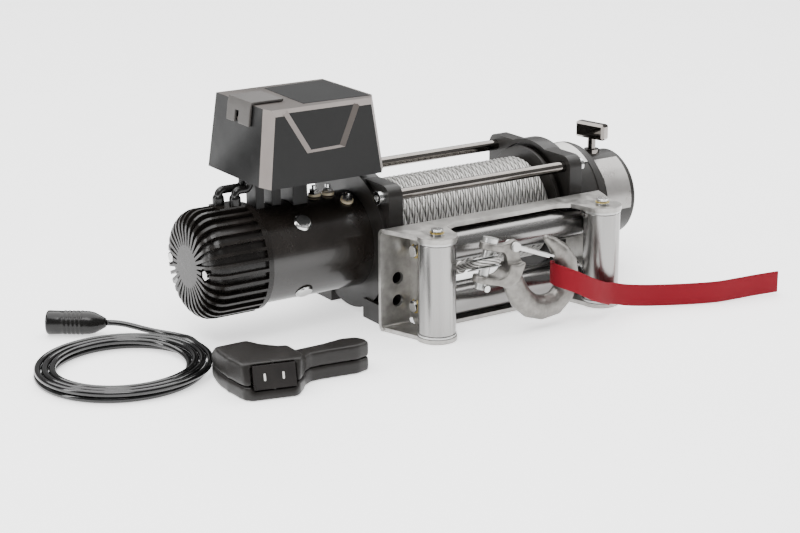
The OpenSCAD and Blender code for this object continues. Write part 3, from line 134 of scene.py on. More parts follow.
curveSteps = 24  # points worked out between two points of a route


def addMesh(name, points, faces, uv=None, smooth=True):
    # the points in the order of the array, with one UV for each point given to all its corners
    mesh = bpy.data.meshes.new(name)
    mesh.from_pydata(points.reshape(-1, 3).tolist(), [], faces)
    if uv is not None:
        layer = mesh.uv_layers.new(name="surface")
        corners = np.empty(len(mesh.loops), dtype=np.int64)
        mesh.loops.foreach_get("vertex_index", corners)
        layer.data.foreach_set("uv", uv.reshape(-1, 2)[corners].astype(np.float32).ravel())
    mesh.polygons.foreach_set("use_smooth", [smooth] * len(mesh.polygons))
    mesh.update()
    obj = bpy.data.objects.new(name, mesh)
    bpy.context.scene.collection.objects.link(obj)
    return obj


def tubeFaces(rows, cols):
    # quads between neighbouring rings of a tube, and one flat face over each end ring
    i, j = np.meshgrid(np.arange(rows - 1), np.arange(cols), indexing="ij")
    j2 = (j + 1) % cols
    quads = np.stack([i * cols + j, i * cols + j2, (i + 1) * cols + j2, (i + 1) * cols + j], -1)
    first, last = list(range(cols))[::-1], list(range((rows - 1) * cols, rows * cols))
    return quads.reshape(-1, 4).tolist() + [first, last]


def circle(angles):
    # points on the unit circle: (cos a, sin a)
    return np.stack([np.cos(angles), np.sin(angles)], 1)


def runAlong(line):
    # the distance from the start to each point: the running sum of the steps' lengths
    return np.concatenate([[0], np.cumsum(np.linalg.norm(np.diff(line, axis=0), axis=1))])


def lineLength(line):
    # the distance run at the last point
    return float(runAlong(line)[-1])


def evenly(line, step):
    # points at even distances along the line, about one step apart
    run = runAlong(line)
    marks = np.linspace(0, run[-1], max(2, int(round(run[-1] / step)) + 1))
    return np.stack([np.interp(marks, run, line[:, k]) for k in range(3)], 1)


def smoothLine(points, step):
    # Catmull-Rom line through the points, resampled at even steps of arc length
    p = np.array(points, dtype=float)
    p = np.vstack([2 * p[0] - p[1], p, 2 * p[-1] - p[-2]])
    t = np.linspace(0, 1, curveSteps, endpoint=False)[:, None]
    parts = [0.5 * (2 * b + (c - a) * t + (2 * a - 5 * b + 4 * c - d) * t**2 + (3 * b - a - 3 * c + d) * t**3)
             for a, b, c, d in zip(p[:-3], p[1:-2], p[2:-1], p[3:])]
    return evenly(np.vstack(parts + [p[-2:-1]]), step)


def tangents(line):
    # unit vectors along the line, by central differences
    t = np.gradient(line, axis=0)
    return t / np.linalg.norm(t, axis=1)[:, None]


def lineFrames(line, start):
    # at each point the last side direction less its part along the tangent, and tangent x side as lift
    t = tangents(line)
    side = np.empty_like(t)
    s = np.array(start, dtype=float)
    for k in range(len(t)):
        s = s - s.dot(t[k]) * t[k]
        s /= np.linalg.norm(s)
        side[k] = s
    return side, np.cross(t, side)


def carrySection(name, line, side, lift, section, twist=None, uvScale=(1, 1)):
    # a closed section carried along a line: point = line + across * side + up * lift, turned by twist
    n, m = len(line), len(section)
    x, y = section[:, 0][None, :], section[:, 1][None, :]
    turn = np.zeros((n, 1)) if twist is None else twist[:, None]
    across = x * np.cos(turn) - y * np.sin(turn)
    up = x * np.sin(turn) + y * np.cos(turn)
    points = line[:, None, :] + across[..., None] * side[:, None, :] + up[..., None] * lift[:, None, :]
    around = np.arange(m)[None, :] / m * uvScale[0]
    along = runAlong(line)[:, None] * uvScale[1]
    return addMesh(name, points, tubeFaces(n, m), np.stack(np.broadcast_arrays(around, along), -1))


def turned(name, profile, place, along, parts):
    # a profile of (distance along the axis, radius) pairs turned about the axis
    axis = np.array(along, dtype=float) / np.linalg.norm(along)
    side = np.cross(axis, [0, 0, 1])
    side /= np.linalg.norm(side)
    lift = np.cross(axis, side)
    prof = np.array(profile, dtype=float)
    a = np.linspace(0, 2 * np.pi, parts, endpoint=False)
    ring = np.cos(a)[:, None] * side + np.sin(a)[:, None] * lift
    points = np.array(place) + prof[:, 0][:, None, None] * axis + prof[:, 1][:, None, None] * ring[None]
    uv = np.stack(np.broadcast_arrays(a[None, :] / (2 * np.pi), prof[:, 0][:, None]), -1)
    return addMesh(name, points, tubeFaces(len(prof), parts), uv)


def turnOut(obj):
    # the same closed mesh with all its faces pointing outwards
    bm = bmesh.new()
    bm.from_mesh(obj.data)
    bmesh.ops.recalc_face_normals(bm, faces=bm.faces)
    bm.to_mesh(obj.data)
    bm.free()


# Pieces made from CAD nodes

copySpec = {"merge": 1e-6, "flat": 0.6}  # metres between doubles, degrees between flat faces
edgeSpec = {"segments": 2, "angle": 32}
meltShare = 0.5  # how far each round of smoothing goes


def bodyOf(node):
    # the body that lists the node among its members
    for body, members in frame["record"]["behaviour"]["bodies"].items():
        if node in members:
            return body


def applyAll(obj):
    # the object's mesh becomes the result of its modifiers
    depsgraph = bpy.context.evaluated_depsgraph_get()
    mesh = bpy.data.meshes.new_from_object(obj.evaluated_get(depsgraph))
    old = obj.data
    obj.modifiers.clear()
    obj.data = mesh
    bpy.data.meshes.remove(old)


def cadCopy(name, node):
    # a merged copy of a CAD node, with its flat triangles joined into whole faces
    obj = bpy.data.objects.new(name, nodes[node].data.copy())
    bpy.context.scene.collection.objects.link(obj)
    obj.data.materials.clear()
    flat = math.radians(copySpec["flat"])
    bm = bmesh.new()
    bm.from_mesh(obj.data)
    bmesh.ops.remove_doubles(bm, verts=bm.verts, dist=copySpec["merge"])
    bmesh.ops.dissolve_limit(bm, angle_limit=flat, verts=bm.verts, edges=bm.edges)
    bm.to_mesh(obj.data)
    bm.free()
    return obj


def standFor(obj, node):
    # the piece rides where the node rides, and hides it
    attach(obj, bodyOf(node))
    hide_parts(node)


def softened(node, width):
    # the CAD shape with its edges rounded, as a casting or a pressed part has
    obj = cadCopy(node + "_soft", node)
    mod = obj.modifiers.new("edges", "BEVEL")
    mod.width, mod.segments, mod.limit_method = width, edgeSpec["segments"], "ANGLE"
    mod.angle_limit = math.radians(edgeSpec["angle"])
    mod.miter_outer = "MITER_ARC"
    mod.harden_normals = True
    mod.use_clamp_overlap = True
    applyAll(obj)
    obj.data.polygons.foreach_set("use_smooth", [True] * len(obj.data.polygons))
    normals = obj.modifiers.new("normals", "WEIGHTED_NORMAL")
    normals.keep_sharp = True
    applyAll(obj)
    standFor(obj, node)
    return obj


def melted(name, node, cell, rounds):
    # the CAD shape remeshed in small cells and smoothed, as a forging or a moulding is
    obj = cadCopy(name, node)
    cells = obj.modifiers.new("cells", "REMESH")
    cells.mode, cells.voxel_size = "VOXEL", cell
    cells.use_smooth_shade = True
    smooth = obj.modifiers.new("smooth", "SMOOTH")
    smooth.factor, smooth.iterations = meltShare, rounds
    applyAll(obj)
    standFor(obj, node)
    return obj


# Finishes

grainLook = {"fineDetail": 3, "broadDetail": 5, "broadRough": 0.6, "tintFrom": (0.32, 0.68)}

finishLooks = {
    "castBlack": {"dark": (0.007, 0.006, 0.0052), "light": (0.013, 0.0115, 0.01), "rough": (0.36, 0.5),
                  "coat": 0.05, "bump": 0.3, "shine": 0.28},
    "motorPaint": {"dark": (0.008, 0.0062, 0.005), "light": (0.013, 0.0105, 0.0088), "rough": (0.2, 0.28),
                   "coat": 0.2, "bump": 0.08, "shine": 0.45},
    "ribPaint": {"dark": (0.006, 0.005, 0.0042), "light": (0.012, 0.0098, 0.0085), "rough": (0.22, 0.34),
                 "coat": 0.05, "bump": 0.25, "shine": 0.28},
    "darkChrome": {"dark": (0.17, 0.155, 0.145), "light": (0.21, 0.195, 0.18), "rough": (0.05, 0.1),
                   "metal": 1, "fine": 300, "bump": 0.01},
    "zinc": {"dark": (0.42, 0.42, 0.42), "light": (0.58, 0.58, 0.57), "rough": (0.16, 0.28),
             "metal": 1, "bump": 0.06},
    "drumPaint": {"dark": (0.01, 0.009, 0.008), "light": (0.018, 0.016, 0.014), "rough": (0.35, 0.5),
                  "bump": 0.2, "shine": 0.28},
    "bronze": {"dark": (0.35, 0.22, 0.10), "light": (0.50, 0.34, 0.18), "rough": (0.3, 0.45), "metal": 1},
    "galvanised": {"dark": (0.27, 0.262, 0.25), "light": (0.42, 0.41, 0.39), "rough": (0.28, 0.42),
                   "metal": 0.85, "broad": 90, "bump": 0.12},
    # the rollers' broad tint, stretched along each roller's axis, paints reflection bands, and the stretched
    # fine grain gives brushed marks
    "rollerSteel": {"dark": (0.25, 0.245, 0.24), "light": (0.33, 0.325, 0.315), "rough": (0.22, 0.32),
                    "metal": 1, "fine": 700, "broad": 60, "stretch": (1, 1, 0.03), "bump": 0.012,
                    "depth": 0.0001},
    "levelSteel": {"dark": (0.2, 0.195, 0.19), "light": (0.27, 0.265, 0.26), "rough": (0.2, 0.3),
                   "metal": 1, "fine": 700, "broad": 60, "stretch": (0.03, 1, 1), "bump": 0.012,
                   "depth": 0.0001},
    "hookCast": {"dark": (0.13, 0.125, 0.115), "light": (0.24, 0.23, 0.215), "rough": (0.34, 0.48),
                 "metal": 0.85, "fine": 520, "broad": 110, "bump": 0.4, "depth": 0.0005},
    "whiteZinc": {"dark": (0.4, 0.4, 0.39), "light": (0.55, 0.55, 0.54), "rough": (0.25, 0.4),
                  "metal": 0.8, "bump": 0.08},
    "yellowZinc": {"dark": (0.45, 0.34, 0.10), "light": (0.66, 0.54, 0.24), "rough": (0.28, 0.4), "metal": 1},
    "toolSteel": {"dark": (0.30, 0.29, 0.28), "light": (0.45, 0.44, 0.42), "rough": (0.25, 0.4), "metal": 1},
    "copperWire": {"dark": (0.30, 0.12, 0.05), "light": (0.45, 0.20, 0.09), "rough": (0.3, 0.45),
                   "metal": 0.8},
    "fibreBoard": {"dark": (0.16, 0.09, 0.04), "light": (0.24, 0.15, 0.08), "rough": (0.5, 0.65)},
    "boxBlack": {"dark": (0.004, 0.004, 0.004), "light": (0.007, 0.007, 0.007), "rough": (0.4, 0.52),
                 "fine": 1400, "bump": 0.18, "shine": 0.28},
    "boxEdge": {"dark": (0.145, 0.125, 0.115), "light": (0.185, 0.162, 0.15), "rough": (0.42, 0.55),
                "fine": 1400, "broad": 12},
    # a lighter tone: painted light on the lid's top, and painted shade where it covers the recess's right
    # edge
    "boxLitTopShadedSlope": {"dark": (0.050, 0.043, 0.039), "light": (0.075, 0.065, 0.059), "rough": (0.35, 0.5),
               "fine": 1400, "broad": 12, "shine": 0.28},
    "panelGloss": {"dark": (0.006, 0.006, 0.006), "light": (0.009, 0.009, 0.009), "rough": (0.1, 0.16),
                   "bump": 0.02, "shine": 0.28},
    "rubberBlack": {"dark": (0.010, 0.009, 0.009), "light": (0.018, 0.017, 0.016), "rough": (0.45, 0.6),
                    "bump": 0.2, "shine": 0.28},
    "rubberGrey": {"dark": (0.045, 0.041, 0.038), "light": (0.065, 0.060, 0.056), "rough": (0.5, 0.65),
                   "bump": 0.25},
    "creamWasher": {"dark": (0.50, 0.42, 0.28), "light": (0.66, 0.58, 0.42), "rough": (0.4, 0.55)},
    "handsetSkin": {"dark": (0.007, 0.006, 0.0052), "light": (0.011, 0.0095, 0.0085), "rough": (0.36, 0.48),
                    "fine": 1600, "bump": 0.3, "shine": 0.28},
    "bootRubber": {"dark": (0.004, 0.004, 0.004), "light": (0.007, 0.0065, 0.006), "rough": (0.18, 0.28),
                   "coat": 0.05, "bump": 0.06, "shine": 0.28},
    "rockerGloss": {"dark": (0.010, 0.009, 0.009), "light": (0.016, 0.014, 0.013), "rough": (0.25, 0.35),
                    "bump": 0.05, "shine": 0.28},
    "leadSkin": {"dark": (0.002, 0.002, 0.002), "light": (0.004, 0.004, 0.004), "rough": (0.1, 0.16),
                 "coat": 0.05, "bump": 0.06, "shine": 0.55},
    "plainWhite": {"dark": (0.52, 0.51, 0.49), "light": (0.6, 0.59, 0.57), "rough": (0.35, 0.45),
                   "bump": 0.05},
    "labelSilver": {"dark": (0.26, 0.25, 0.24), "light": (0.34, 0.33, 0.32), "rough": (0.25, 0.35),
                    "metal": 0.6, "bump": 0.05},
}


def addNode(tree, kind, sockets=None, **settings):
    # a shader node with its settings, then the values of its sockets
    node = tree.nodes.new("ShaderNode" + kind)
    for label, value in settings.items():
        setattr(node, label, value)
    for label, value in (sockets or {}).items():
        node.inputs[label].default_value = value
    return node


def makeGrain():
    # fine noise for the height and broad noise for the tint, both on the given coordinates
    tree = bpy.data.node_groups.new("surfaceGrain", "ShaderNodeTree")
    for label, kind in (("Vector", "Vector"), ("Fine", "Float"), ("Broad", "Float")):
        tree.interface.new_socket(name=label, in_out="INPUT", socket_type="NodeSocket" + kind)
    for label in ("Tint", "Height"):
        tree.interface.new_socket(name=label, in_out="OUTPUT", socket_type="NodeSocketFloat")
    given = tree.nodes.new("NodeGroupInput")
    result = tree.nodes.new("NodeGroupOutput")
    fine = addNode(tree, "TexNoise", {"Detail": grainLook["fineDetail"]})
    broad = addNode(tree, "TexNoise", {"Detail": grainLook["broadDetail"]})
    broad.inputs["Roughness"].default_value = grainLook["broadRough"]
    low, high = grainLook["tintFrom"]
    spread = addNode(tree, "MapRange", {"From Min": low, "From Max": high})
    for noise, label in ((fine, "Fine"), (broad, "Broad")):
        tree.links.new(given.outputs["Vector"], noise.inputs["Vector"])
        tree.links.new(given.outputs[label], noise.inputs["Scale"])
    tree.links.new(broad.outputs[0], spread.inputs["Value"])
    tree.links.new(spread.outputs[0], result.inputs["Tint"])
    tree.links.new(fine.outputs[0], result.inputs["Height"])
    return tree


grain = makeGrain()
finishes = {}


def newFinish(name, metal=0.0, shine=0.5):
    # a material with its shader and coordinates, listed among the finishes
    mat = bpy.data.materials.new(name)
    mat.use_nodes = True
    finishes[name] = mat
    tree = mat.node_tree
    shader = tree.nodes["Principled BSDF"]
    shader.inputs["Metallic"].default_value = metal
    shader.inputs["Specular IOR Level"].default_value = shine
    return tree, shader, addNode(tree, "TexCoord")


def addRelief(tree, shader, height, strength, depth):
    # the shader's normal tilted by the slope of the height
    relief = addNode(tree, "Bump", {"Strength": strength, "Distance": depth})
    tree.links.new(height, relief.inputs["Height"])
    tree.links.new(relief.outputs[0], shader.inputs["Normal"])


def finish(name, dark, light, rough, metal=0.0, coat=0.0, fine=900, broad=30, bump=0.15,
           stretch=(1, 1, 1), depth=0.0004, shine=0.5):
    # the grain's tint blends dark to light and smooth to rough, and its height gives the relief
    tree, shader, coords = newFinish(name, metal, shine)
    shader.inputs["Coat Weight"].default_value = coat
    place = addNode(tree, "Mapping", {"Scale": stretch})
    tree.links.new(coords.outputs["Object"], place.inputs["Vector"])
    group = addNode(tree, "Group", node_tree=grain)
    group.inputs["Fine"].default_value = fine
    group.inputs["Broad"].default_value = broad
    tree.links.new(place.outputs[0], group.inputs["Vector"])
    mix = addNode(tree, "Mix", {"A": (*dark, 1), "B": (*light, 1)}, data_type="RGBA")
    tree.links.new(group.outputs["Tint"], mix.inputs["Factor"])
    tree.links.new(mix.outputs["Result"], shader.inputs["Base Color"])
    smoothest, roughest = rough
    span = addNode(tree, "MapRange", {"To Min": smoothest, "To Max": roughest})
    tree.links.new(group.outputs["Tint"], span.inputs["Value"])
    tree.links.new(span.outputs[0], shader.inputs["Roughness"])
    addRelief(tree, shader, group.outputs["Height"], bump, depth)


def paint(obj, name):
    # one finish all over the piece
    obj.data.materials.clear()
    obj.data.materials.append(finishes[name])


for name, look in finishLooks.items():
    finish(name, **look)
print("finishes made")


# The lead, its coil and the plug

lead = {
    "radius": 0.0033,
    "sides": 12,
    "fine": 0.0045,
    "middle": (-0.436, -0.050),
    "outer": 0.090,
    "step": 0.0076,
    "turns": 3,
    "perTurn": 48,
    "layer": 0.0070,
    "climb": 0.5,
    "sway": 0.0014,
    "swayStart": 0.6,
    "uvScale": (1, 100),
    # the free stretches are in mm, from the handset to the coil and from the coil to the plug
    "toHandset": [(-354, -106, 14), (-354, -99.5, 14), (-351.6, -95, 12.8), (-347, -90.5, 10.4),
                  (-343, -85, 7.6), (-341.4, -78, 5), (-342, -71, 3.6), (-343.8, -64, 3.3),
                  (-345.4, -57, 3.3)],
    "toPlug": [(-346, -42, 10.3), (-344.6, -33, 9.8), (-343, -23, 9.2), (-342.6, -12, 8.2), (-344.6, -1, 7),
               (-348, 11.5, 6), (-353, 23, 5.4), (-359.5, 33.5, 5.6), (-367.5, 43, 7.2), (-375.5, 50.4, 9.6),
               (-384, 56.8, 12), (-392.2, 62.5, 13.4), (-400.4, 68.2, 13.6)],
}


def coilLine():
    # the radius shrinks by one step a turn, then grows again a layer higher, and sways twice a turn
    turns = lead["turns"]
    turn = np.linspace(0, 2 * turns, 2 * turns * lead["perTurn"] + 1)
    angle = 2 * np.pi * turn
    inward = np.minimum(turn, 2 * turns - turn)
    fade = np.sin(np.pi * np.clip(turn / (2 * turns), 0, 1)) ** 0.5
    sway = lead["sway"] * np.sin(2 * angle + lead["swayStart"]) * fade
    r = lead["outer"] - lead["step"] * inward + sway
    climb = np.clip((turn - (turns - lead["climb"] / 2)) / lead["climb"], 0, 1)
    z = lead["radius"] + lead["layer"] * (climb - np.sin(2 * np.pi * climb) / (2 * np.pi))
    return np.column_stack([lead["middle"] + r[:, None] * circle(angle), z])


def addLead():
    # a round section carried from the handset through the coil to the plug
    first = np.array(lead["toHandset"]) / mmPerMetre
    last = np.array(lead["toPlug"]) / mmPerMetre
    line = smoothLine(np.vstack([first, coilLine(), last]), lead["fine"])
    side, lift = lineFrames(line, (1, 0, 0))
    section = lead["radius"] * circle(np.linspace(0, 2 * np.pi, lead["sides"], endpoint=False))
    cord = carrySection("lead_cord", line, side, lift, section, uvScale=lead["uvScale"])
    paint(cord, "leadSkin")
    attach(cord, "frame_body")
    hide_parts("lead_coil", "lead_run")
    return cord, line


plug = {
    "place": (-0.4004, 0.0682, 0.0136),
    "turn": 145,
    "sides": 48,
    "nose": [(0, 0.0048), (0.002, 0.0060), (0.006, 0.0082), (0.012, 0.0113), (0.018, 0.0126),
             (0.022, 0.0128)],
    "ribs": 5,
    "firstRib": 0.024,
    "ribPitch": 0.0046,
    "rib": [(0, 0.0127), (0.0008, 0.0132), (0.0026, 0.0132), (0.0034, 0.0127)],
    "mouth": [(0.050, 0.0129), (0.0615, 0.0133), (0.0632, 0.0128), (0.064, 0.0116), (0.064, 0.0102),
              (0.058, 0.0100), (0.058, 0.0001)],
}


def addPlug():
    # a turned rubber grip: a nose, even ribs and a hollow mouth, along a level direction
    profile = list(plug["nose"])
    for k in range(plug["ribs"]):
        start = plug["firstRib"] + plug["ribPitch"] * k
        profile += [(start + run, radius) for run, radius in plug["rib"]]
    profile += plug["mouth"]
    a = math.radians(plug["turn"])
    grip = turned("plug_grip", profile, plug["place"], (math.cos(a), math.sin(a), 0), plug["sides"])
    paint(grip, "bootRubber")
    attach(grip, "frame_body")
    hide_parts("remote_plug")
    return grip


leadCord, leadLine = addLead()
plugGrip = addPlug()
print("lead is %.2f m long" % lineLength(leadLine))


# The wire rope

rope = {
    "radius": 0.0040,
    "strands": 6,
    "swell": 1.04,
    "lay": 0.052,
    "axis": 0.083,
    "wind": 0.056,
    "turns": 24,
    "step": 0.0084167,
    "perTurn": 104,
    "woundPoints": 4,
    "tailPoints": 6,
    "fine": 0.002,
    "uvRun": 0.0055,
}

ropeLook = {
    "metal": 0.85,
    "rough": 0.36,
    "wires": (7, 7, 0),
    "wireShadingShare": 0.55,
    "patches": 160,
    # dark and light: the wires' painted shade and painted highlight, spread also by random patches of tone
    "dark": (0.22, 0.215, 0.20, 1),
    "light": (0.62, 0.61, 0.59, 1),
    "valleyShadeBands": (0.314159, 0, 0),  # one band of painted shade in each groove between strands, as the wave's phase is 20 times this
    "valleyShadePower": 2.2,
    # the colour of the painted shade in the grooves between strands
    "paintedValleyShade": (0.045, 0.042, 0.038, 1),
    "bump": 0.5,
    "depth": 0.0003,
}


def strandSection(perStrand):
    # outline of round strands about a middle: the outer crossing of a ray with the nearest strand,
    # where a strand's radius is a third of the rope's, and a little swollen
    strand = rope["radius"] / 3 * rope["swell"]
    middle = rope["radius"] - strand
    m = rope["strands"] * perStrand
    half = np.pi / rope["strands"]
    a = (np.arange(m) + 0.5) / m * 2 * np.pi
    near = (a + half) % (2 * half) - half
    r = middle * np.cos(near) + np.sqrt(strand**2 - (middle * np.sin(near)) ** 2)
    return r[:, None] * circle(a)


def makeRopeFinish():
    # slanting waves on the UV paint a highlight along each wire and shade beside it, mixed with random
    # patches of tone, and give their relief, and a wave across paints shade into the grooves between strands
    tree, shader, coords = newFinish("ropeWire", ropeLook["metal"])
    shader.inputs["Roughness"].default_value = ropeLook["rough"]
    slant = addNode(tree, "Mapping", {"Scale": ropeLook["wires"]})
    wires = addNode(tree, "TexWave", {"Scale": 1}, bands_direction="DIAGONAL")
    patches = addNode(tree, "TexNoise", {"Scale": ropeLook["patches"]})
    blend = addNode(tree, "Math", {1: ropeLook["wireShadingShare"]}, operation="MULTIPLY_ADD", use_clamp=True)
    metal = addNode(tree, "Mix", {"A": ropeLook["dark"], "B": ropeLook["light"]}, data_type="RGBA")
    across = addNode(tree, "Mapping", {"Scale": ropeLook["valleyShadeBands"]})
    valleyShadeBands = addNode(tree, "TexWave", {"Scale": 1}, bands_direction="X")
    narrow = addNode(tree, "Math", {1: ropeLook["valleyShadePower"]}, operation="POWER")
    shade = addNode(tree, "Mix", {"B": ropeLook["paintedValleyShade"]}, data_type="RGBA")
    tree.links.new(coords.outputs["UV"], slant.inputs["Vector"])
    tree.links.new(slant.outputs[0], wires.inputs["Vector"])
    tree.links.new(coords.outputs["Object"], patches.inputs["Vector"])
    tree.links.new(wires.outputs["Fac"], blend.inputs[0])
    tree.links.new(patches.outputs[0], blend.inputs[2])
    tree.links.new(blend.outputs[0], metal.inputs["Factor"])
    tree.links.new(coords.outputs["UV"], across.inputs["Vector"])
    tree.links.new(across.outputs[0], valleyShadeBands.inputs["Vector"])
    tree.links.new(valleyShadeBands.outputs["Fac"], narrow.inputs[0])
    tree.links.new(narrow.outputs[0], shade.inputs["Factor"])
    tree.links.new(metal.outputs["Result"], shade.inputs["A"])
    tree.links.new(shade.outputs["Result"], shader.inputs["Base Color"])
    addRelief(tree, shader, wires.outputs["Fac"], ropeLook["bump"], ropeLook["depth"])


def laidRope(name, node, line, start, perStrand):
    # the strands' outline carried along the line, turned once in each length of lay
    side, lift = lineFrames(line, start)
    twist = 2 * np.pi * runAlong(line) / rope["lay"]
    uvScale = (rope["strands"], 1 / rope["uvRun"])
    laid = carrySection(name, line, side, lift, strandSection(perStrand), twist, uvScale)
    laid.data.materials.append(finishes["ropeWire"])
    standFor(laid, node)


def addWinding():
    # a helix: one step along the drum for each turn, resting on the layer below
    turn = np.linspace(0, rope["turns"], rope["turns"] * rope["perTurn"] + 1)
    a = 2 * np.pi * turn
    x = rope["step"] * (turn - rope["turns"] / 2)
    line = np.stack([x, rope["wind"] * np.sin(a), rope["axis"] - rope["wind"] * np.cos(a)], 1)
    laidRope("rope_wound", "rope_winding", line, (0, 0, -1), rope["woundPoints"])


tail = {
    "radius": 0.0643,
    "leaveAngles": [10, 17, 24],
    "leaveX": -0.060,
    "drift": 4000,  # degrees round the drum in which the rope moves one metre along it
    # the run's points in mm, from the drum through the rollers
    "points": [(-69, -37, 29), (-72.5, -49, 34.4), (-76, -61, 39.8), (-79.5, -73, 45.2), (-82.8, -85, 50.8),
               (-85.4, -96, 55.8), (-86.6, -105, 60), (-86.4, -112.5, 63.6)],
    "sleeve": [0.060, 0.054],
    "pin": (-0.070, -0.172, 0.086),
    "towards": (-0.2756, 0.9033, -0.3288),
    "lean": 20,
    "eyeRadius": 0.013,
    "eyeAngles": np.arange(-108, 109, 6),
    # half of the eye in mm, from the sleeve to the bend: (back from the pin, across)
    "side": [(-34, 4.3), (-29, 4.3), (-24, 5.6), (-18, 7.7), (-11, 10.1)],
}


def eyeLine():
    # two sides that open from the sleeve, joined by a bend round the pin, in the leaning plane of the eye
    back = -np.array(tail["towards"])
    back /= np.linalg.norm(back)
    lean = math.radians(tail["lean"])
    across = np.cross([0, math.sin(lean), math.cos(lean)], back)
    across /= np.linalg.norm(across)
    bend = tail["eyeRadius"] * circle(np.radians(tail["eyeAngles"]))
    side = np.array(tail["side"]) / mmPerMetre
    flat = np.vstack([side * [1, -1], bend, side[::-1]])
    return np.array(tail["pin"]) + flat[:, :1] * back + flat[:, 1:] * across


def runLine():
    # an arc round the drum as the rope leaves it, the chosen points, and two points inside the sleeve
    degrees = np.array(tail["leaveAngles"])
    a = np.radians(degrees)
    start = np.stack([tail["leaveX"] - degrees / tail["drift"], -tail["radius"] * np.sin(a),
                      rope["axis"] - tail["radius"] * np.cos(a)], 1)
    end = np.array(tail["pin"]) + np.outer(tail["sleeve"], tail["towards"])
    return np.vstack([start, np.array(tail["points"]) / mmPerMetre, end])


def addTail():
    # the run from the drum to the sleeve and the eye beyond it, both lines smoothed
    for name, line in (("rope_run", runLine()), ("rope_eye", eyeLine())):
        laidRope(name, "rope_tail", smoothLine(line, rope["fine"]), (0, 0, 1), rope["tailPoints"])


makeRopeFinish()
addWinding()
addTail()
print("rope laid")


# The pull strap

strap = {
    "width": 0.0250,
    "thick": 0.0024,
    "fine": 0.0025,
    "widthShares": [-1, -0.97, -0.9, -0.45, 0, 0.45, 0.9, 0.97, 1],
    "thickShares": [0.35, 0.8, 1, 1, 1, 1, 1, 0.8, 0.35],
    # the web's middle line in mm, from its short end round the hook to its long end
    "points": [(95, -178.2, 22.5), (79, -169, 29.5), (65, -160.5, 37), (50, -155.5, 45), (36, -156, 52.5),
               (25.8, -161.2, 57), (20, -170.8, 58.5), (19, -181, 58.5), (22.3, -191.5, 57.5),
               (32.5, -200, 53), (47, -202, 44.5), (64, -198, 36.5), (81, -189.5, 29.5), (97, -182, 24.5),
               (116, -181, 19), (136, -184, 15.6), (158, -190, 13.6), (188, -203, 13), (220, -215, 13),
               (248, -219, 13.2), (272, -222, 13.6), (302, -228, 14.4)],
}

strapLook = {
    "rough": 0.72,
    "shine": 0.2,
    "wave": 3.2,
    "ribs": (11, 0, 0),
    "picks": (0, 220, 0),
    # dark and light: painted shade between the threads and lit thread crests of the one crimson web
    "dark": (0.13, 0.001, 0.006, 1),
    "light": (0.36, 0.003, 0.018, 1),
    "bump": 0.6,
    "depth": 0.0004,
}


def makeStrapFinish():
    # the product of ribs along the web and finer picks across it paints shade between the threads and lighter
    # thread crests, and gives the relief
    tree, shader, coords = newFinish("strapWeave", shine=strapLook["shine"])
    shader.inputs["Roughness"].default_value = strapLook["rough"]
    weave = addNode(tree, "Math", operation="MULTIPLY")
    for k, (direction, threads) in enumerate((("X", "ribs"), ("Y", "picks"))):
        place = addNode(tree, "Mapping", {"Scale": strapLook[threads]})
        wave = addNode(tree, "TexWave", {"Scale": strapLook["wave"]}, bands_direction=direction)
        tree.links.new(coords.outputs["UV"], place.inputs["Vector"])
        tree.links.new(place.outputs[0], wave.inputs["Vector"])
        tree.links.new(wave.outputs["Fac"], weave.inputs[k])
    mix = addNode(tree, "Mix", {"A": strapLook["dark"], "B": strapLook["light"]}, data_type="RGBA")
    tree.links.new(weave.outputs[0], mix.inputs["Factor"])
    tree.links.new(mix.outputs["Result"], shader.inputs["Base Color"])
    addRelief(tree, shader, weave.outputs[0], strapLook["bump"], strapLook["depth"])


def addStrap():
    # a thin section with round hems stands upright along the line: side = up x tangent, lift = up
    line = smoothLine(np.array(strap["points"]) / mmPerMetre, strap["fine"])
    side = np.cross([0, 0, 1], tangents(line))
    side /= np.linalg.norm(side, axis=1)[:, None]
    lift = np.tile([0.0, 0.0, 1.0], (len(line), 1))
    up = strap["width"] / 2 * np.array(strap["widthShares"])
    edge = strap["thick"] / 2 * np.array(strap["thickShares"])
    section = np.concatenate([np.stack([edge, up], 1), np.stack([-edge, up], 1)[::-1]])
    web = carrySection("strap_web", line, side, lift, section)
    web.data.materials.append(finishes["strapWeave"])
    standFor(web, "hook_strap")


makeStrapFinish()
addStrap()
print("strap made")


# Castings, plates and turned parts from the frame

roundEdges = {
    "motor_support": (0.0016, "castBlack"), "gear_support": (0.0016, "castBlack"),
    "gear_housing": (0.0012, "castBlack"), "end_housing": (0.0010, "castBlack"),
    "motor_end_cap": (0.0008, "ribPaint"), "motor_case": (0.0006, "motorPaint"),
    "drum": (0.0008, "drumPaint"), "tie_rod_bolts": (0.0007, "zinc"), "through_bolts": (0.0005, "zinc"),
    "pole_screws": (0.0008, "zinc"), "fairlead_frame": (0.0007, "galvanised"),
    # the rollers' finishes carry painted reflection bands along their axes
    "left_roller": (0.0010, "rollerSteel"), "right_roller": (0.0010, "rollerSteel"),
    "upper_roller": (0.0010, "levelSteel"), "lower_roller": (0.0010, "levelSteel"),
    "upright_pins": (0.0008, "zinc"), "level_pins": (0.0008, "zinc"), "roller_washers": (0.0004, "whiteZinc"),
    "clevis_pin": (0.0006, "whiteZinc"), "latch_rivet": (0.0004, "whiteZinc"),
    "rope_ferrule": (0.0014, "toolSteel"), "clutch_lever": (0.0010, "darkChrome"),
    "housing_screws": (0.0004, "castBlack"), "box_base": (0.0006, "boxBlack"),
    "terminal_washers": (0.0004, "creamWasher"), "hook_latch": (0.0006, "whiteZinc"),
    "socket_cover": (0.0012, "rubberGrey"), "handset_rocker": (0.0012, "rockerGloss"),
    "box_cover": (0.0009, "boxBlack"),
}

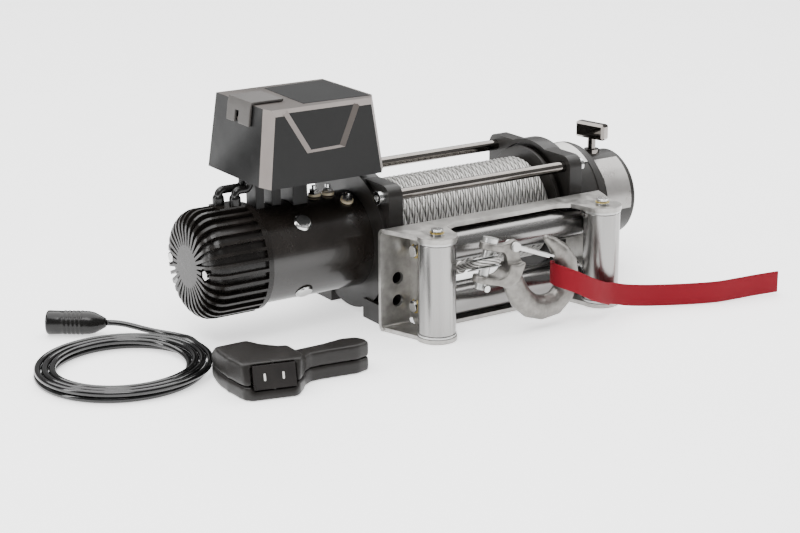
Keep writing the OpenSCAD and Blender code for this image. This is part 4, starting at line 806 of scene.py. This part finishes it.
plainNodes = {
    "tie_rods": "darkChrome", "drum_bushings": "bronze", "rope_core": "ropeWire", "thimble": "whiteZinc",
    "cotter_pin": "zinc", "roller_clips": "yellowZinc", "pole_shoes": "toolSteel",
    "field_coils": "copperWire", "brush_gear": "fibreBoard", "armature": "copperWire",
    "drive_shaft": "toolSteel", "brake_cone": "toolSteel", "ring_gear": "toolSteel",
    "planet_carrier": "toolSteel", "planet_gear_a": "toolSteel", "planet_gear_b": "toolSteel",
    "planet_gear_c": "toolSteel", "clutch_plunger": "zinc", "contactor": "boxBlack",
    "terminal_studs": "zinc", "motor_leads": "bootRubber", "remote_socket": "rubberBlack",
}

meltedNodes = {
    "handset_top": {"name": "handset_top_moulded", "cell": 0.0014, "rounds": 22, "finish": "handsetSkin"},
    "handset_base": {"name": "handset_base_moulded", "cell": 0.0014, "rounds": 22, "finish": "handsetSkin"},
    "hook": {"name": "hook_forged", "cell": 0.0011, "rounds": 10, "finish": "hookCast"},
}

for node, (width, name) in roundEdges.items():
    paint(softened(node, width), name)
for node, name in plainNodes.items():
    paint(nodes[node], name)
for node, spec in meltedNodes.items():
    paint(melted(spec["name"], node, spec["cell"], spec["rounds"]), spec["finish"])
print("frame pieces finished")


# Plain bars on the handset's rocker

rockerFace = {  # mm and degrees
    "place": (-343, -203, 4),
    "turn": 14,
    "lean": 15,
    "up": 19.5,
    "proud": 1.5,
    "marks": (-10, 9),
    "markRadius": 1.1,
    "markReach": 2.6,
    "markDepths": (0.02, 0.25),
    "markStep": 15,
}


def addMark(name, across):
    # a capsule outline at two depths, in the face's own directions, leaned about x and turned about z
    degrees = np.arange(0, 360, rockerFace["markStep"])
    ring = (across, rockerFace["up"]) + rockerFace["markRadius"] * circle(np.radians(degrees))
    ring[:, 1] += rockerFace["markReach"] * np.where(degrees <= 180, 1, -1)
    depth = -rockerFace["proud"] - np.array(rockerFace["markDepths"])
    local = np.stack([np.column_stack([ring[:, 0], np.full(len(ring), d), ring[:, 1]]) for d in depth])
    leanTurn = np.array(Matrix.Rotation(-math.radians(rockerFace["lean"]), 3, "X"))
    flatTurn = np.array(Matrix.Rotation(-math.radians(rockerFace["turn"]), 3, "Z"))
    points = (local @ leanTurn.T @ flatTurn.T + rockerFace["place"]) / mmPerMetre
    mark = addMesh(name, points, tubeFaces(2, len(ring)), smooth=False)
    turnOut(mark)
    paint(mark, "plainWhite")
    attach(mark, "rocker_body")


for k, across in enumerate(rockerFace["marks"]):
    addMark("rocker_mark_%d" % (k + 1), across)
print("rocker marked")


# The control box's lighter faces, with painted light on the lid and painted shade on the recess's right edge,
# and the bare panels

boxZones = {
    "corner": {"across": 0.3, "front": -0.2},
    "rim": {"up": 0.4, "front": -0.4},
    "recess": {"front": 0.35, "steep": 0.6, "left": -0.262, "right": -0.130, "before": -0.045,
               "below": 0.249},
    # the lid's up-facing faces: painted light on the top
    "lid": {"up": 0.9, "above": 0.24},
}


def paintBoxFaces():
    # the cut corners, the rim and the recess's slopes get boxEdge, and the lid gets the lighter top tone,
    # painted light where light falls on the top, by normal and middle
    cover = bpy.data.objects["box_cover_soft"]
    for name in ("boxEdge", "boxLitTopShadedSlope"):
        cover.data.materials.append(finishes[name])
    faces = cover.data.polygons
    normal, middle = np.empty(3 * len(faces)), np.empty(3 * len(faces))
    faces.foreach_get("normal", normal)
    faces.foreach_get("center", middle)
    nx, ny, nz = normal.reshape(-1, 3).T
    x, y, z = middle.reshape(-1, 3).T
    corner, rim, recess, lid = (boxZones[zone] for zone in ("corner", "rim", "recess", "lid"))
    isCorner = (np.abs(nx) > corner["across"]) & (ny < corner["front"])
    isRim = (nz > rim["up"]) & (ny < rim["front"])
    isSlope = (np.abs(ny) < recess["front"]) & (np.abs(nx) + nz > recess["steep"])
    inRecess = (x > recess["left"]) & (x < recess["right"]) & (y < recess["before"]) & (z < recess["below"])
    isPaintedLightLid = (nz > lid["up"]) & (z > lid["above"])
    index = np.where(isPaintedLightLid, 2, np.where(isCorner | isRim | (isSlope & inRecess), 1, 0))
    faces.foreach_set("material_index", index.astype(np.int32))


boxFront = {  # mm, and the lean in radians
    "middle": -194.5,
    "face": -64,
    "foot": 170,
    "lean": math.atan(5 / 81),
    "lip": 0.1,
    "sunk": 2,
    "proud": 0.02,
}

recessEdges = {  # (across, up) in mm from the foot of the box's middle
    "recess_left": {"start": (-26.5, 33), "end": (-52.5, 77), "width": -6.5, "finish": "boxEdge"},
    "recess_foot": {"start": (19.5, 34), "end": (-26.5, 33), "width": -2.6, "finish": "boxEdge"},
    # the right edge takes a darker tone than the other two: painted shade on that slope
    "recess_right": {"start": (39.5, 76), "end": (19.5, 34), "width": -6, "finish": "boxLitTopShadedSlope"},
}


def addRecessEdge(name, spec):
    # a wedge along one edge of the front recess: (across, up) in mm on the leaning front face
    start, end = np.array(spec["start"], dtype=float), np.array(spec["end"], dtype=float)
    run = end - start
    inward = np.array([-run[1], run[0]]) / np.linalg.norm(run) * spec["width"]
    flat = np.array([start, start, start + inward, end, end, end + inward])
    deep = np.tile([boxFront["lip"], boxFront["sunk"], boxFront["sunk"]], 2) - boxFront["proud"]
    sinLean, cosLean = math.sin(boxFront["lean"]), math.cos(boxFront["lean"])
    x = boxFront["middle"] + flat[:, 0]
    y = boxFront["face"] + flat[:, 1] * sinLean + deep * cosLean
    z = boxFront["foot"] + flat[:, 1] * cosLean - deep * sinLean
    faces = [[0, 1, 2], [5, 4, 3], [0, 3, 4, 1], [1, 4, 5, 2], [2, 5, 3, 0]]
    wedge = addMesh(name, np.stack([x, y, z], 1) / mmPerMetre, faces, smooth=False)
    turnOut(wedge)
    paint(wedge, spec["finish"])
    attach(wedge, "frame_body")


boxPanel = {  # mm
    "corners": [(-213, -41), (-132, -44), (-131, 56), (-208, 52)],
    "levels": (251, 251.35),
    "finish": "panelGloss",
}


def addBoxPanel():
    # a flat plate on the lid: its outline at two heights
    corners = boxPanel["corners"]
    rings = [[(x, y, level) for x, y in corners] for level in boxPanel["levels"]]
    slab = addMesh("box_panel", np.array(rings) / mmPerMetre, tubeFaces(2, len(corners)), smooth=False)
    paint(slab, boxPanel["finish"])
    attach(slab, "frame_body")


wrapSheet = {"points": 60, "lift": 0.0002, "half": 0.0002}

wraps = {  # x in mm along the axis, angles in degrees from the top towards the front
    "gear_panel": {"x": (146, 169), "angles": (-6, 38), "radius": 0.0675, "finish": "plainWhite"},
    "end_panel": {"x": (193, 229), "angles": (24, 100), "radius": 0.0515, "finish": "labelSilver"},
}


def addWrap(name, spec):
    # a thin sheet round the winch's axis: point = (x, -r sin a, axis + r cos a)
    a = np.radians(np.linspace(*spec["angles"], wrapSheet["points"]))
    low, high = np.array(spec["x"]) / mmPerMetre
    r = spec["radius"] + wrapSheet["lift"]
    line = np.stack([np.full(len(a), (low + high) / 2), -r * np.sin(a), rope["axis"] + r * np.cos(a)], 1)
    side, lift = lineFrames(line, (1, 0, 0))
    w, h = (high - low) / 2, wrapSheet["half"]
    wrap = carrySection(name, line, side, lift, np.array([(-w, -h), (w, -h), (w, h), (-w, h)]))
    wrap.data.polygons.foreach_set("use_smooth", [False] * len(wrap.data.polygons))
    paint(wrap, spec["finish"])
    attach(wrap, "frame_body")


paintBoxFaces()
for name, spec in recessEdges.items():
    addRecessEdge(name, spec)
addBoxPanel()
for name, spec in wraps.items():
    addWrap(name, spec)
print("bare panels made")
